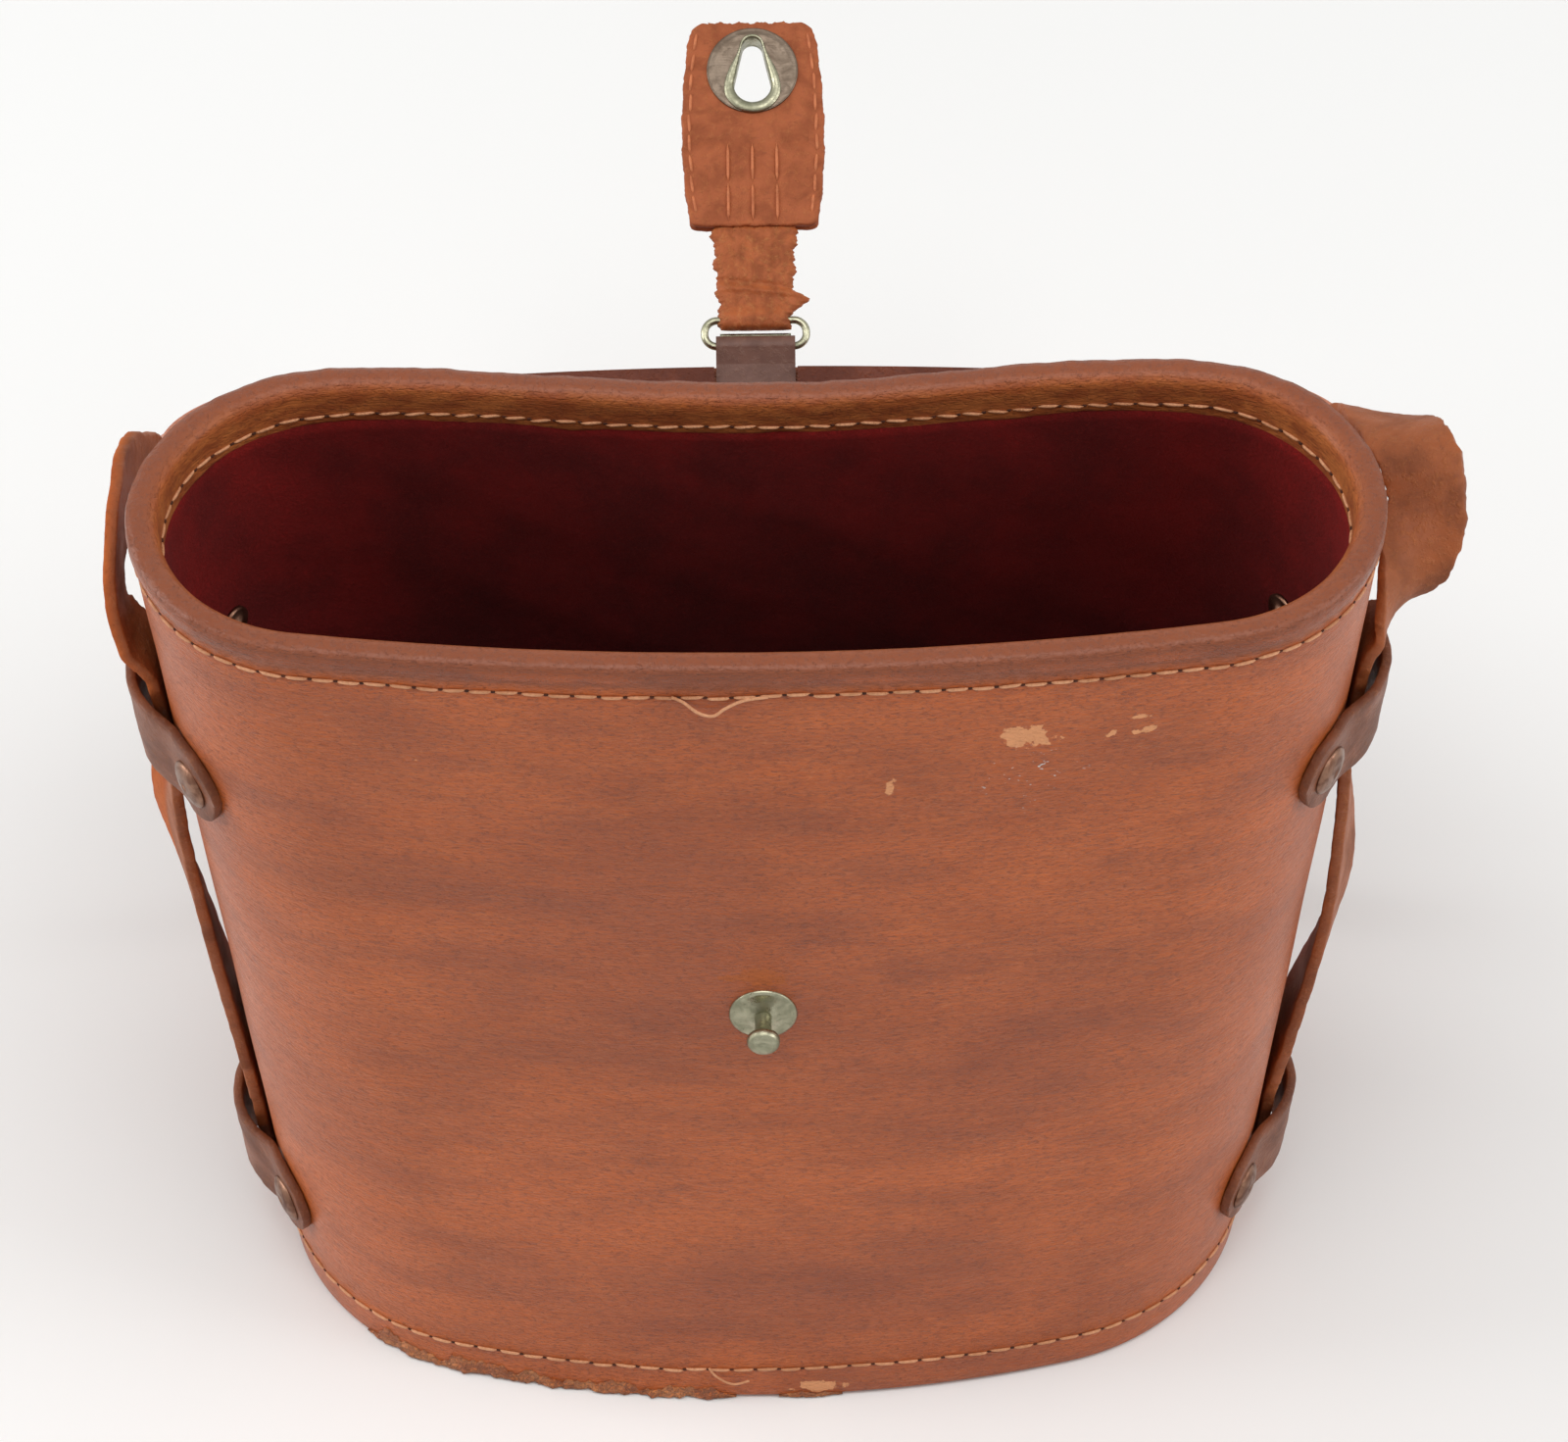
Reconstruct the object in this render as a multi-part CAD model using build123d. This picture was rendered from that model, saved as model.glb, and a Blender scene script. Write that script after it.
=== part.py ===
from build123d import *
import math
import os

os.makedirs("parts", exist_ok=True)

# ---------------------------------------------------------------- body
HEIGHT = 190.0                 # rim above the floor
TOP_HALF_LENGTH = 106.7        # oval outline at the rim
TOP_HALF_DEPTH = 38.5
TOP_END_RADIUS = 33.1
BOTTOM_HALF_LENGTH = 91.5      # oval outline at the floor
BOTTOM_HALF_DEPTH = 50.6
BOTTOM_END_RADIUS = 44.9
BACK_HOLLOW = 9.0              # middle of the back drawn in at the rim, none at the floor
LEATHER = 2.0                  # outer leather of the wall
BOARD = 1.8                    # stiffener behind it
FELT = 1.2                     # lining
TURN_IN = 9.5                  # leather turned down inside the mouth
RIM_CAP = 2.0                  # leather over the top edge of the board
RIM_BEVEL = 1.2                # worn-round edges of the rim
SOLE_LEATHER = 2.0
SOLE_FLANGE = 12.0             # sole leather turned up inside the wall
SOLE_BOARD = 2.0
SOLE_FELT = 1.2
# ---------------------------------------------------------------- lid
LID_HALF_LENGTH = 107.3        # inside of the skirt
LID_HALF_DEPTH = 41.2
LID_END_RADIUS = 35.6
SKIRT_LEATHER = 2.0
SKIRT_BOARD = 1.2
SKIRT_FELT = 0.8
SKIRT_DROP = 18.0              # skirt reaches this far below the rim at the front
SKIRT_FULL_FROM = 40.0         # in front of this the skirt is full depth; it tapers off round the ends
SKIRT_BACK_DROP = 0.8          # what is left of it from the middle of the ends to the hinge
SKIRT_BOW = 6.9                # its front edge rises by this towards the ends
LID_SEAT = 0.5                 # lining above the rim when shut
LID_FELT = 0.8
LID_BOARD = 1.4
LID_LEATHER = 2.0
LID_BACK_EDGE = 43.2           # straight back edge at the hinge
HINGE_ZONE = 58.0              # no skirt between here and the middle
HINGE_Y = 53.9                 # line the leather hinge turns about
HINGE_Z = HEIGHT - 13.1
LID_OPEN = 231.0               # degrees from shut to open
# ---------------------------------------------------------------- hinge strip
HINGE_HALF_WIDTH = 54.0
HINGE_LEATHER = 1.8
HINGE_STRIP_TOP = HEIGHT - 19.0
HINGE_STRIP_LOW = HINGE_STRIP_TOP - 14.0
HINGE_ON_LID = 12.0
# ---------------------------------------------------------------- stud
STUD_HEIGHT = 106.1
STUD_BASE_RADIUS = 6.0
STUD_BASE_RISE = 1.1
STUD_NECK_RADIUS = 1.6
STUD_NECK_FREE = 4.7
STUD_HEAD_RADIUS = 2.9
STUD_HEAD = 2.2
STUD_BURR_RADIUS = 4.0
STUD_BURR = 0.8
# ---------------------------------------------------------------- keepers
KEEPER_THICK = 1.9
KEEPER_ROOM = 5.0              # bulge over the strap
KEEPER_BULGE_RADIUS = 16.0
KEEPER_PAD_START = 12.5
KEEPER_PAD_END = 25.0
KEEPER_UPPER_LOW = 134.0
KEEPER_UPPER_TOP = 151.0
KEEPER_LOWER_LOW = 15.5
KEEPER_LOWER_TOP = 32.5
KEEPER_RIVET_Y = 19.6
KEEPER_RIVET_HEAD = 4.6
KEEPER_RIVET_RISE = 1.3
KEEPER_RIVET_SHANK = 1.3
KEEPER_BURR_RADIUS = 3.4
KEEPER_BURR = 0.7
# ---------------------------------------------------------------- latch
LATCH_LEAF_WIDTH = 15.4
LATCH_LEAF = 1.2
LATCH_LEAF_TOP = HEIGHT - SKIRT_DROP + 14.0
LATCH_RIVET_X = 4.0
LATCH_RIVET_Z = HEIGHT - SKIRT_DROP + 7.5
LATCH_RIVET_HEAD = 2.3
LATCH_RIVET_SHANK = 0.9
BAR_NEAR = 4.2                 # ring bar, from the skirt's edge
BAR_FAR = 9.4
RING_LENGTH = 19.8             # centre line
RING_CORNER = 2.0
WIRE_RADIUS = 0.75
BAR_CLEARANCE = 0.08
RING_TILT = 4.5                # resting lean of the ring
TAB_TILT = 5.5                 # further lean of the tab
STRETCH_WIDTH = 16.2
STRETCH_KNUCKLE_WIDTH = 15.0
STRETCH_THICK = 2.6
STRETCH_TONGUE = 0.9
STRETCH_TONGUE_END = 36.0
TAB_START = 28.6
TAB_END = 71.8
TAB_START_HALF = 12.4
TAB_MID_HALF = 14.0
TAB_END_HALF = 12.0
TAB_LEATHER = 1.2
TAB_CORE = 1.0
TAB_CORE_START = 37.5
PLATE_RADIUS = 9.0
PLATE_THICK = 0.4
PLATE_T = 61.2
KEY_WIDE_RADIUS = 3.7
KEY_WIDE_T = 58.2
KEY_NARROW_RADIUS = 2.0
KEY_NARROW_T = 66.0
EYELET_WALL = 0.4
# ---------------------------------------------------------------- carry strap
STRAP_WIDTH = 14.5
STRAP_THICK = 2.4


def size_at(z):
    t = z / HEIGHT
    return (BOTTOM_HALF_LENGTH + (TOP_HALF_LENGTH - BOTTOM_HALF_LENGTH) * t,
            BOTTOM_HALF_DEPTH + (TOP_HALF_DEPTH - BOTTOM_HALF_DEPTH) * t,
            BOTTOM_END_RADIUS + (TOP_END_RADIUS - BOTTOM_END_RADIUS) * t)


def oval(a, b, r, z, hollow=0.0):
    """four arcs: two ends of radius r, the front, and the back drawn in by hollow"""
    side = ((a - r) ** 2 + b * b - r * r) / (2 * (b - r))
    cx, cy = a - r, side - b
    jx = side * cx / (side - r)
    jy = -cy + side * cy / (side - r)
    return Face(Wire([
        ThreePointArc((jx, -jy, z), (a, 0, z), (jx, jy, z)),
        ThreePointArc((jx, jy, z), (0, b - hollow, z), (-jx, jy, z)),
        ThreePointArc((-jx, jy, z), (-a, 0, z), (-jx, -jy, z)),
        ThreePointArc((-jx, -jy, z), (0, -b, z), (jx, -jy, z))]))


def shell(inset):
    """the body's outline from floor to rim, moved in by inset"""
    return loft([
        oval(BOTTOM_HALF_LENGTH - inset, BOTTOM_HALF_DEPTH - inset, BOTTOM_END_RADIUS - inset, 0),
        oval(TOP_HALF_LENGTH - inset, TOP_HALF_DEPTH - inset, TOP_END_RADIUS - inset, HEIGHT, BACK_HOLLOW)],
        ruled=True)


REACH = 2 * TOP_HALF_LENGTH    # well outside everything, for cutting solids


def slab(z0, z1, x0=-REACH, x1=REACH, y0=-REACH, y1=REACH):
    return Pos((x0 + x1) / 2, (y0 + y1) / 2, (z0 + z1) / 2) * Box(x1 - x0, y1 - y0, z1 - z0)


def prism(a, b, r, z0, z1):
    return extrude(oval(a, b, r, z0), amount=z1 - z0, dir=(0, 0, 1))


def rod(start, direction, length, radius):
    return extrude(Plane(origin=start, z_dir=direction) * Circle(radius), amount=length)


def save(shape, name):
    shape.label = name
    export_step(shape, "parts/" + name + ".step")


S_OUT = shell(0)
S_BOARD = shell(LEATHER)
S_FELT = shell(LEATHER + BOARD)
WALL = LEATHER + BOARD + FELT
S_IN = shell(WALL)
LINING_TOP = HEIGHT - TURN_IN
BOARD_TOP = HEIGHT - RIM_CAP

# ---------------------------------------------------------------- stud, on the wall's normal
slope = math.atan((BOTTOM_HALF_DEPTH - TOP_HALF_DEPTH) / HEIGHT)
wall_out = (0, -math.cos(slope), math.sin(slope))
stud_y = -size_at(STUD_HEIGHT)[1]


def stud_point(out):
    return (0, stud_y + wall_out[1] * out, STUD_HEIGHT + wall_out[2] * out)


HEAD_START = STUD_BASE_RISE + STUD_NECK_FREE
stud_base = (rod(stud_point(-0.4), wall_out, 0.4 + STUD_BASE_RISE * 0.55, STUD_BASE_RADIUS)
             + Plane(origin=stud_point(STUD_BASE_RISE * 0.55), z_dir=wall_out)
             * extrude(Circle(STUD_BASE_RADIUS), amount=STUD_BASE_RISE * 0.45, taper=60))
stud_base = stud_base - S_OUT - rod(stud_point(-2), wall_out, 10, STUD_NECK_RADIUS)
stud_post = (rod(stud_point(-WALL - STUD_BURR - 0.5), wall_out, WALL + STUD_BURR + 0.5 + HEAD_START + 0.5, STUD_NECK_RADIUS)
             + rod(stud_point(HEAD_START), wall_out, STUD_HEAD - 0.6, STUD_HEAD_RADIUS)
             + Plane(origin=stud_point(HEAD_START + STUD_HEAD - 0.6), z_dir=wall_out)
             * extrude(Circle(STUD_HEAD_RADIUS), amount=0.6, taper=45)
             + rod(stud_point(-WALL - STUD_BURR - 0.55), wall_out, 0.5, STUD_NECK_RADIUS + 0.6))
stud_burr = (rod(stud_point(-WALL - STUD_BURR), wall_out, STUD_BURR + 0.4, STUD_BURR_RADIUS) & S_IN) \
    - rod(stud_point(-WALL - STUD_BURR - 1), wall_out, 5, STUD_NECK_RADIUS)
through_holes = [rod(stud_point(-WALL - 3), wall_out, WALL + 6, STUD_NECK_RADIUS)]

# ---------------------------------------------------------------- strap keepers and their rivets
S_PAD = shell(-KEEPER_THICK)


def keeper(side, low, top):
    bulge = []
    for grow in (0.0, KEEPER_THICK):
        rings = []
        for z in (0, HEIGHT):
            a = size_at(z)[0]
            centre = a + KEEPER_ROOM - KEEPER_BULGE_RADIUS
            rings.append(Face(Wire(Edge.make_circle(KEEPER_BULGE_RADIUS + grow,
                                                    Plane(origin=(side * centre, 0, z))))))
        bulge.append(loft(rings, ruled=True))
    band = slab(low, top)
    hoop = (bulge[1] & band) - bulge[0] - S_OUT
    end = (top - low) / 2
    x0, x1 = (20, REACH) if side > 0 else (-REACH, -20)
    pads = S_PAD - S_OUT
    reach = None
    for fb in (-1, 1):
        y0, y1 = sorted((fb * KEEPER_PAD_START, fb * (KEEPER_PAD_END - end)))
        piece = slab(low, top, x0, x1, y0, y1) \
            + rod((x0, fb * (KEEPER_PAD_END - end), (low + top) / 2), (1, 0, 0), x1 - x0, end)
        reach = piece if reach is None else reach + piece
    return hoop + ((pads & reach) - slab(low - 1, top + 1, x0, x1, -KEEPER_PAD_START, KEEPER_PAD_START))


def keeper_rivets(side, low, top):
    z = (low + top) / 2
    a, b, r = size_at(z)
    out = None
    for fb in (-1, 1):
        ang = math.asin(KEEPER_RIVET_Y / r)
        lean = (TOP_HALF_LENGTH - BOTTOM_HALF_LENGTH) / HEIGHT * math.cos(ang) \
            + (TOP_END_RADIUS - BOTTOM_END_RADIUS) / HEIGHT * (1 - math.cos(ang))
        n = Vector(side * math.cos(ang), fb * math.sin(ang), -lean).normalized()
        p = Vector(side * (a - r + r * math.cos(ang)), fb * r * math.sin(ang), z)
        head = rod(p + n * (KEEPER_THICK - 0.5), n, 0.5 + KEEPER_RIVET_RISE * 0.45, KEEPER_RIVET_HEAD) - S_PAD \
            + Plane(origin=p + n * (KEEPER_THICK + KEEPER_RIVET_RISE * 0.45), z_dir=n) \
            * extrude(Circle(KEEPER_RIVET_HEAD), amount=KEEPER_RIVET_RISE * 0.55, taper=55)
        shank = rod(p - n * (WALL + KEEPER_BURR), n, WALL + KEEPER_BURR + KEEPER_THICK + 0.5, KEEPER_RIVET_SHANK)
        burr = rod(p - n * (WALL + KEEPER_BURR), n, KEEPER_BURR + 0.5, KEEPER_BURR_RADIUS) & S_IN
        one = head + shank + burr
        out = one if out is None else out + one
        through_holes.append(rod(p - n * (WALL + 4), n, WALL + 12, KEEPER_RIVET_SHANK))
    return out


for height_name, low, top in (("upper", KEEPER_UPPER_LOW, KEEPER_UPPER_TOP),
                              ("lower", KEEPER_LOWER_LOW, KEEPER_LOWER_TOP)):
    for side_name, side in (("left", -1), ("right", 1)):
        band = keeper(side, low, top)
        first = len(through_holes)
        rivets = keeper_rivets(side, low, top)
        for hole in through_holes[first:]:
            band = band - hole
        save(band, "keeper_" + height_name + "_" + side_name)
        save(rivets, "keeper_rivets_" + height_name + "_" + side_name)

# ---------------------------------------------------------------- wall and sole
rim_outer = loft([oval(TOP_HALF_LENGTH + 0.3, TOP_HALF_DEPTH + 0.3, TOP_END_RADIUS + 0.3, HEIGHT - RIM_BEVEL - 0.3, BACK_HOLLOW),
                  oval(TOP_HALF_LENGTH - RIM_BEVEL, TOP_HALF_DEPTH - RIM_BEVEL, TOP_END_RADIUS - RIM_BEVEL, HEIGHT, BACK_HOLLOW)],
                 ruled=True)
rim_inner = loft([oval(TOP_HALF_LENGTH - WALL - 0.3, TOP_HALF_DEPTH - WALL - 0.3, TOP_END_RADIUS - WALL - 0.3, HEIGHT - RIM_BEVEL - 0.3, BACK_HOLLOW),
                  oval(TOP_HALF_LENGTH - WALL + RIM_BEVEL, TOP_HALF_DEPTH - WALL + RIM_BEVEL, TOP_END_RADIUS - WALL + RIM_BEVEL, HEIGHT, BACK_HOLLOW)],
                 ruled=True)
wall_leather = S_OUT - (S_BOARD & slab(-1, LINING_TOP)) \
    - ((S_BOARD - S_FELT) & slab(LINING_TOP - 0.01, BOARD_TOP)) \
    - (S_IN & slab(LINING_TOP - 0.01, HEIGHT + 1))
wall_leather = (wall_leather & slab(-1, HEIGHT - RIM_BEVEL - 0.3)) \
    + ((wall_leather & slab(HEIGHT - RIM_BEVEL - 0.3, HEIGHT + 1) & rim_outer) - rim_inner)
wall_board = (S_BOARD - S_FELT) & slab(SOLE_FLANGE, BOARD_TOP)
wall_lining = (S_FELT - S_IN) & slab(SOLE_LEATHER + SOLE_BOARD, LINING_TOP)
for hole in through_holes:
    wall_leather = wall_leather - hole
    wall_board = wall_board - hole
    wall_lining = wall_lining - hole
bottom_leather = (S_BOARD & slab(-1, SOLE_LEATHER)) + ((S_BOARD - S_FELT) & slab(SOLE_LEATHER, SOLE_FLANGE))
bottom_board = S_FELT & slab(SOLE_LEATHER, SOLE_LEATHER + SOLE_BOARD)
bottom_lining = S_IN & slab(SOLE_LEATHER + SOLE_BOARD, SOLE_LEATHER + SOLE_BOARD + SOLE_FELT)
save(wall_leather, "wall_leather")
save(wall_board, "wall_board")
save(wall_lining, "wall_lining")
save(bottom_leather, "bottom_leather")
save(bottom_board, "bottom_board")
save(bottom_lining, "bottom_lining")
save(stud_base, "stud_base")
save(stud_post, "stud_post")
save(stud_burr, "stud_burr")

# ---------------------------------------------------------------- lid, drawn shut and then swung open
HINGE = Axis((0, HINGE_Y, HINGE_Z), (1, 0, 0))


def swing(shape):
    return shape.rotate(HINGE, -LID_OPEN)


SKIRT_LOW = HEIGHT - SKIRT_DROP
TOP_0 = HEIGHT + LID_SEAT
TOP_1 = TOP_0 + LID_FELT
TOP_2 = TOP_1 + LID_BOARD
TOP_3 = TOP_2 + LID_LEATHER


def lid_oval(grow, z0, z1):
    return prism(LID_HALF_LENGTH + grow, LID_HALF_DEPTH + grow, LID_END_RADIUS + grow, z0, z1)


G1 = SKIRT_FELT
G2 = SKIRT_FELT + SKIRT_BOARD
G3 = G2 + SKIRT_LEATHER
gap_at_hinge = slab(SKIRT_LOW - 5, TOP_3 + 5, -HINGE_ZONE, HINGE_ZONE, 0)
back_trim = slab(SKIRT_LOW - 5, TOP_3 + 5, y0=LID_BACK_EDGE)
below = SKIRT_LOW - 5
back_low = HEIGHT - SKIRT_BACK_DROP
taper = extrude(Plane.YZ * make_face(Polyline(
    (-SKIRT_FULL_FROM, below), (-SKIRT_FULL_FROM, SKIRT_LOW), (0, back_low), (REACH, back_low), (REACH, below),
    close=True)), amount=REACH, both=True)
lid_half = LID_HALF_LENGTH + G3
bow_edge = ThreePointArc((-lid_half, SKIRT_LOW + SKIRT_BOW), (0, SKIRT_LOW - 0.05), (lid_half, SKIRT_LOW + SKIRT_BOW))
bow = extrude(Plane.XZ * make_face([bow_edge, Polyline(
    (lid_half, SKIRT_LOW + SKIRT_BOW), (REACH, SKIRT_LOW + SKIRT_BOW), (REACH, below), (-REACH, below),
    (-REACH, SKIRT_LOW + SKIRT_BOW), (-lid_half, SKIRT_LOW + SKIRT_BOW))]), amount=REACH, both=True)
skirt_leather = lid_oval(G3, SKIRT_LOW, TOP_2) - lid_oval(G2, SKIRT_LOW - 1, TOP_2 + 1) - gap_at_hinge - taper - bow
skirt_board = lid_oval(G2, SKIRT_LOW, TOP_1) - lid_oval(G1, SKIRT_LOW - 1, TOP_1 + 1) - gap_at_hinge - taper - bow
skirt_lining = lid_oval(G1, SKIRT_LOW, TOP_0) - lid_oval(0, SKIRT_LOW - 1, TOP_0 + 1) - gap_at_hinge - taper - bow
lid_top_leather = lid_oval(G3, TOP_2, TOP_3) - back_trim
lid_top_board = lid_oval(G2, TOP_1, TOP_2) - back_trim
lid_top_lining = lid_oval(G1, TOP_0, TOP_1) - back_trim

# latch strap folded over the skirt's front edge
LEAF_HALF = LATCH_LEAF_WIDTH / 2
skirt_front = -(LID_HALF_DEPTH + G3)
leather_back = -(LID_HALF_DEPTH + G2)
latch_line_y = -(size_at(SKIRT_LOW)[1] + (STUD_BASE_RISE + STUD_NECK_FREE / 2) / math.cos(slope))
bar_y = latch_line_y - BAR_NEAR * math.sin(slope)
bar_z = SKIRT_LOW - BAR_NEAR * math.cos(slope)
knuckle = WIRE_RADIUS + BAR_CLEARANCE + LATCH_LEAF
inner_face = leather_back + 0.1
profile = Plane.YZ.offset(-LEAF_HALF) * make_face(Polyline(
    (skirt_front - LATCH_LEAF, LATCH_LEAF_TOP), (skirt_front, LATCH_LEAF_TOP),
    (skirt_front, SKIRT_LOW), (inner_face, SKIRT_LOW),
    (inner_face, LATCH_LEAF_TOP - 1), (inner_face + LATCH_LEAF, LATCH_LEAF_TOP - 1),
    (inner_face + LATCH_LEAF, SKIRT_LOW - 0.6), (bar_y + knuckle, bar_z),
    (bar_y - knuckle, bar_z), (skirt_front - LATCH_LEAF, SKIRT_LOW - 0.6), close=True))
latch_strap = extrude(profile, amount=LATCH_LEAF_WIDTH, dir=(1, 0, 0)) \
    + rod((-LEAF_HALF, bar_y, bar_z), (1, 0, 0), LATCH_LEAF_WIDTH, knuckle)
latch_strap = latch_strap - rod((-LEAF_HALF - 1, bar_y, bar_z), (1, 0, 0), LATCH_LEAF_WIDTH + 2, WIRE_RADIUS + BAR_CLEARANCE)
notch = slab(SKIRT_LOW - 1, LATCH_LEAF_TOP - 0.6, -LEAF_HALF - 0.4, LEAF_HALF + 0.4, -60, -20)
skirt_board = skirt_board - notch
skirt_lining = skirt_lining - notch
latch_rivets = None
for x in (-LATCH_RIVET_X, LATCH_RIVET_X):
    start = (x, inner_face + LATCH_LEAF + 0.5, LATCH_RIVET_Z)
    reach = start[1] - (skirt_front - LATCH_LEAF)
    hole = rod(start, (0, -1, 0), reach + 2, LATCH_RIVET_SHANK)
    latch_strap = latch_strap - hole
    skirt_leather = skirt_leather - hole
    one = rod(start, (0, -1, 0), reach + 0.3, LATCH_RIVET_SHANK) \
        + rod(start, (0, -1, 0), 0.5, LATCH_RIVET_HEAD - 0.3) \
        + Plane(origin=(x, skirt_front - LATCH_LEAF, LATCH_RIVET_Z), z_dir=(0, -1, 0)) \
        * extrude(Circle(LATCH_RIVET_HEAD), amount=0.7, taper=40)
    latch_rivets = one if latch_rivets is None else latch_rivets + one

for shape, name in ((skirt_leather, "lid_skirt_leather"), (skirt_board, "lid_skirt_board"),
                    (skirt_lining, "lid_skirt_lining"), (lid_top_leather, "lid_top_leather"),
                    (lid_top_board, "lid_top_board"), (lid_top_lining, "lid_top_lining"),
                    (latch_strap, "latch_strap"), (latch_rivets, "latch_rivets")):
    save(swing(shape), name)

# ---------------------------------------------------------------- ring, stretch piece and tab
# drawn on the latch line: local y runs back along the latch, local z away from the wall
LATCH = Plane(origin=(0, latch_line_y, SKIRT_LOW), x_dir=(1, 0, 0), z_dir=wall_out)
NEAR = Axis((0, -BAR_NEAR, 0), (1, 0, 0))
FAR = Axis((0, -BAR_FAR, 0), (1, 0, 0))


def place_ring(shape):
    return swing(LATCH.location * shape.rotate(NEAR, -RING_TILT))


def place_tab(shape):
    return swing(LATCH.location * shape.rotate(FAR, -TAB_TILT).rotate(NEAR, -RING_TILT))


half = RING_LENGTH / 2
gap = BAR_FAR - BAR_NEAR
flat = half - RING_CORNER
ring = None
for y in (-BAR_NEAR, -BAR_FAR):
    piece = rod((-flat, y, 0), (1, 0, 0), 2 * flat, WIRE_RADIUS)
    ring = piece if ring is None else ring + piece
for s in (-1, 1):
    ring = ring + rod((s * half, -BAR_FAR + RING_CORNER, 0), (0, 1, 0), gap - 2 * RING_CORNER, WIRE_RADIUS)
    for yc, e in ((-BAR_NEAR - RING_CORNER, 1), (-BAR_FAR + RING_CORNER, -1)):
        # quarter bend, turned about the corner's centre
        axis = Axis((s * flat, yc, 0), (0, 0, 1))
        section = Plane(origin=(s * flat, yc + e * RING_CORNER, 0), z_dir=(1, 0, 0)) * Circle(WIRE_RADIUS)
        ring = ring + revolve(section, axis=axis, revolution_arc=90 * (-s * e))
save(place_ring(ring), "latch_ring")

stretch_knuckle = WIRE_RADIUS + BAR_CLEARANCE + 1.2
hk = STRETCH_KNUCKLE_WIDTH / 2
hw = STRETCH_WIDTH / 2
sleeve = rod((-hk, -BAR_FAR, 0), (1, 0, 0), 2 * hk, stretch_knuckle) \
    + slab(-STRETCH_THICK / 2, STRETCH_THICK / 2, -hk, hk, -BAR_FAR - 4.2, -BAR_FAR) \
    + slab(-STRETCH_THICK / 2, STRETCH_THICK / 2, -hw, hw, -TAB_START + 0.1, -BAR_FAR - 4.2) \
    + slab(-STRETCH_TONGUE / 2, STRETCH_TONGUE / 2, -hk, hk, -STRETCH_TONGUE_END, -TAB_START + 0.2)
sleeve = sleeve - rod((-hk - 1, -BAR_FAR, 0), (1, 0, 0), 2 * hk + 2, WIRE_RADIUS + BAR_CLEARANCE)
save(place_tab(sleeve), "stretch_strap")


def teardrop(grow):
    rw, rn = KEY_WIDE_RADIUS + grow, KEY_NARROW_RADIUS + grow
    span = KEY_NARROW_T - KEY_WIDE_T
    tilt = math.asin((rw - rn) / span)
    c, s = math.cos(tilt), math.sin(tilt)
    yw, yn = -KEY_WIDE_T, -KEY_NARROW_T
    return make_face([
        ThreePointArc((rw * c, yw - rw * s, 0), (0, yw + rw, 0), (-rw * c, yw - rw * s, 0)),
        Line((-rw * c, yw - rw * s, 0), (-rn * c, yn - rn * s, 0)),
        ThreePointArc((-rn * c, yn - rn * s, 0), (0, yn - rn, 0), (rn * c, yn - rn * s, 0)),
        Line((rn * c, yn - rn * s, 0), (rw * c, yw - rw * s, 0))])


mid = -(TAB_START + TAB_END) / 2 + 2
outline = make_face([
    Line((-TAB_START_HALF, -TAB_START, 0), (TAB_START_HALF, -TAB_START, 0)),
    ThreePointArc((TAB_START_HALF, -TAB_START, 0), (TAB_MID_HALF, mid, 0), (TAB_END_HALF, -TAB_END, 0)),
    Line((TAB_END_HALF, -TAB_END, 0), (-TAB_END_HALF, -TAB_END, 0)),
    ThreePointArc((-TAB_END_HALF, -TAB_END, 0), (-TAB_MID_HALF, mid, 0), (-TAB_START_HALF, -TAB_START, 0))])
corners = outline.vertices().sort_by(Axis.Y)
outline = fillet(corners[:2], 3.2)
outline = fillet(outline.vertices().sort_by(Axis.Y)[-2:], 1.6)


def layer(face, z0, z1):
    return Pos(0, 0, z0) * extrude(face, amount=z1 - z0, dir=(0, 0, 1))


core_half = TAB_CORE / 2
face_z = core_half + TAB_LEATHER
eyelet = teardrop(EYELET_WALL)
core_area = outline & (Pos(0, -(TAB_CORE_START + TAB_END) / 2, 0) * Rectangle(60, TAB_END - TAB_CORE_START))
disc = Pos(0, -PLATE_T, 0) * Circle(PLATE_RADIUS)
through = layer(eyelet, -5, 5)
tab_front = layer(outline, core_half, face_z) - through
tab_back = layer(outline, -face_z, -core_half) - through
tab_core = layer(core_area, -core_half, core_half) - through
plate_back = layer(disc, -face_z - PLATE_THICK, -face_z) - through
plate_front = layer(disc, face_z, face_z + PLATE_THICK) + layer(eyelet, -face_z - PLATE_THICK, face_z + PLATE_THICK) \
    - layer(teardrop(0), -5, 5)
for shape, name in ((tab_front, "tab_front_leather"), (tab_back, "tab_back_leather"), (tab_core, "tab_core"),
                    (plate_front, "keyhole_plate_front"), (plate_back, "keyhole_plate_back")):
    save(place_tab(shape), name)

# ---------------------------------------------------------------- leather hinge, in the open shape
def back_arc(a, b, r, hollow, share):
    """point of the back's arc, share running from -1 to 1 between its ends"""
    side = ((a - r) ** 2 + b * b - r * r) / (2 * (b - r))
    jx = side * (a - r) / (side - r)
    jy = b - side + side * (side - b) / (side - r)
    rise = b - hollow - jy
    radius = (jx * jx + rise * rise) / (2 * rise)
    turn = math.asin(jx / radius) * share
    return radius * math.sin(turn), b - hollow - radius * (1 - math.cos(turn))


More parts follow.
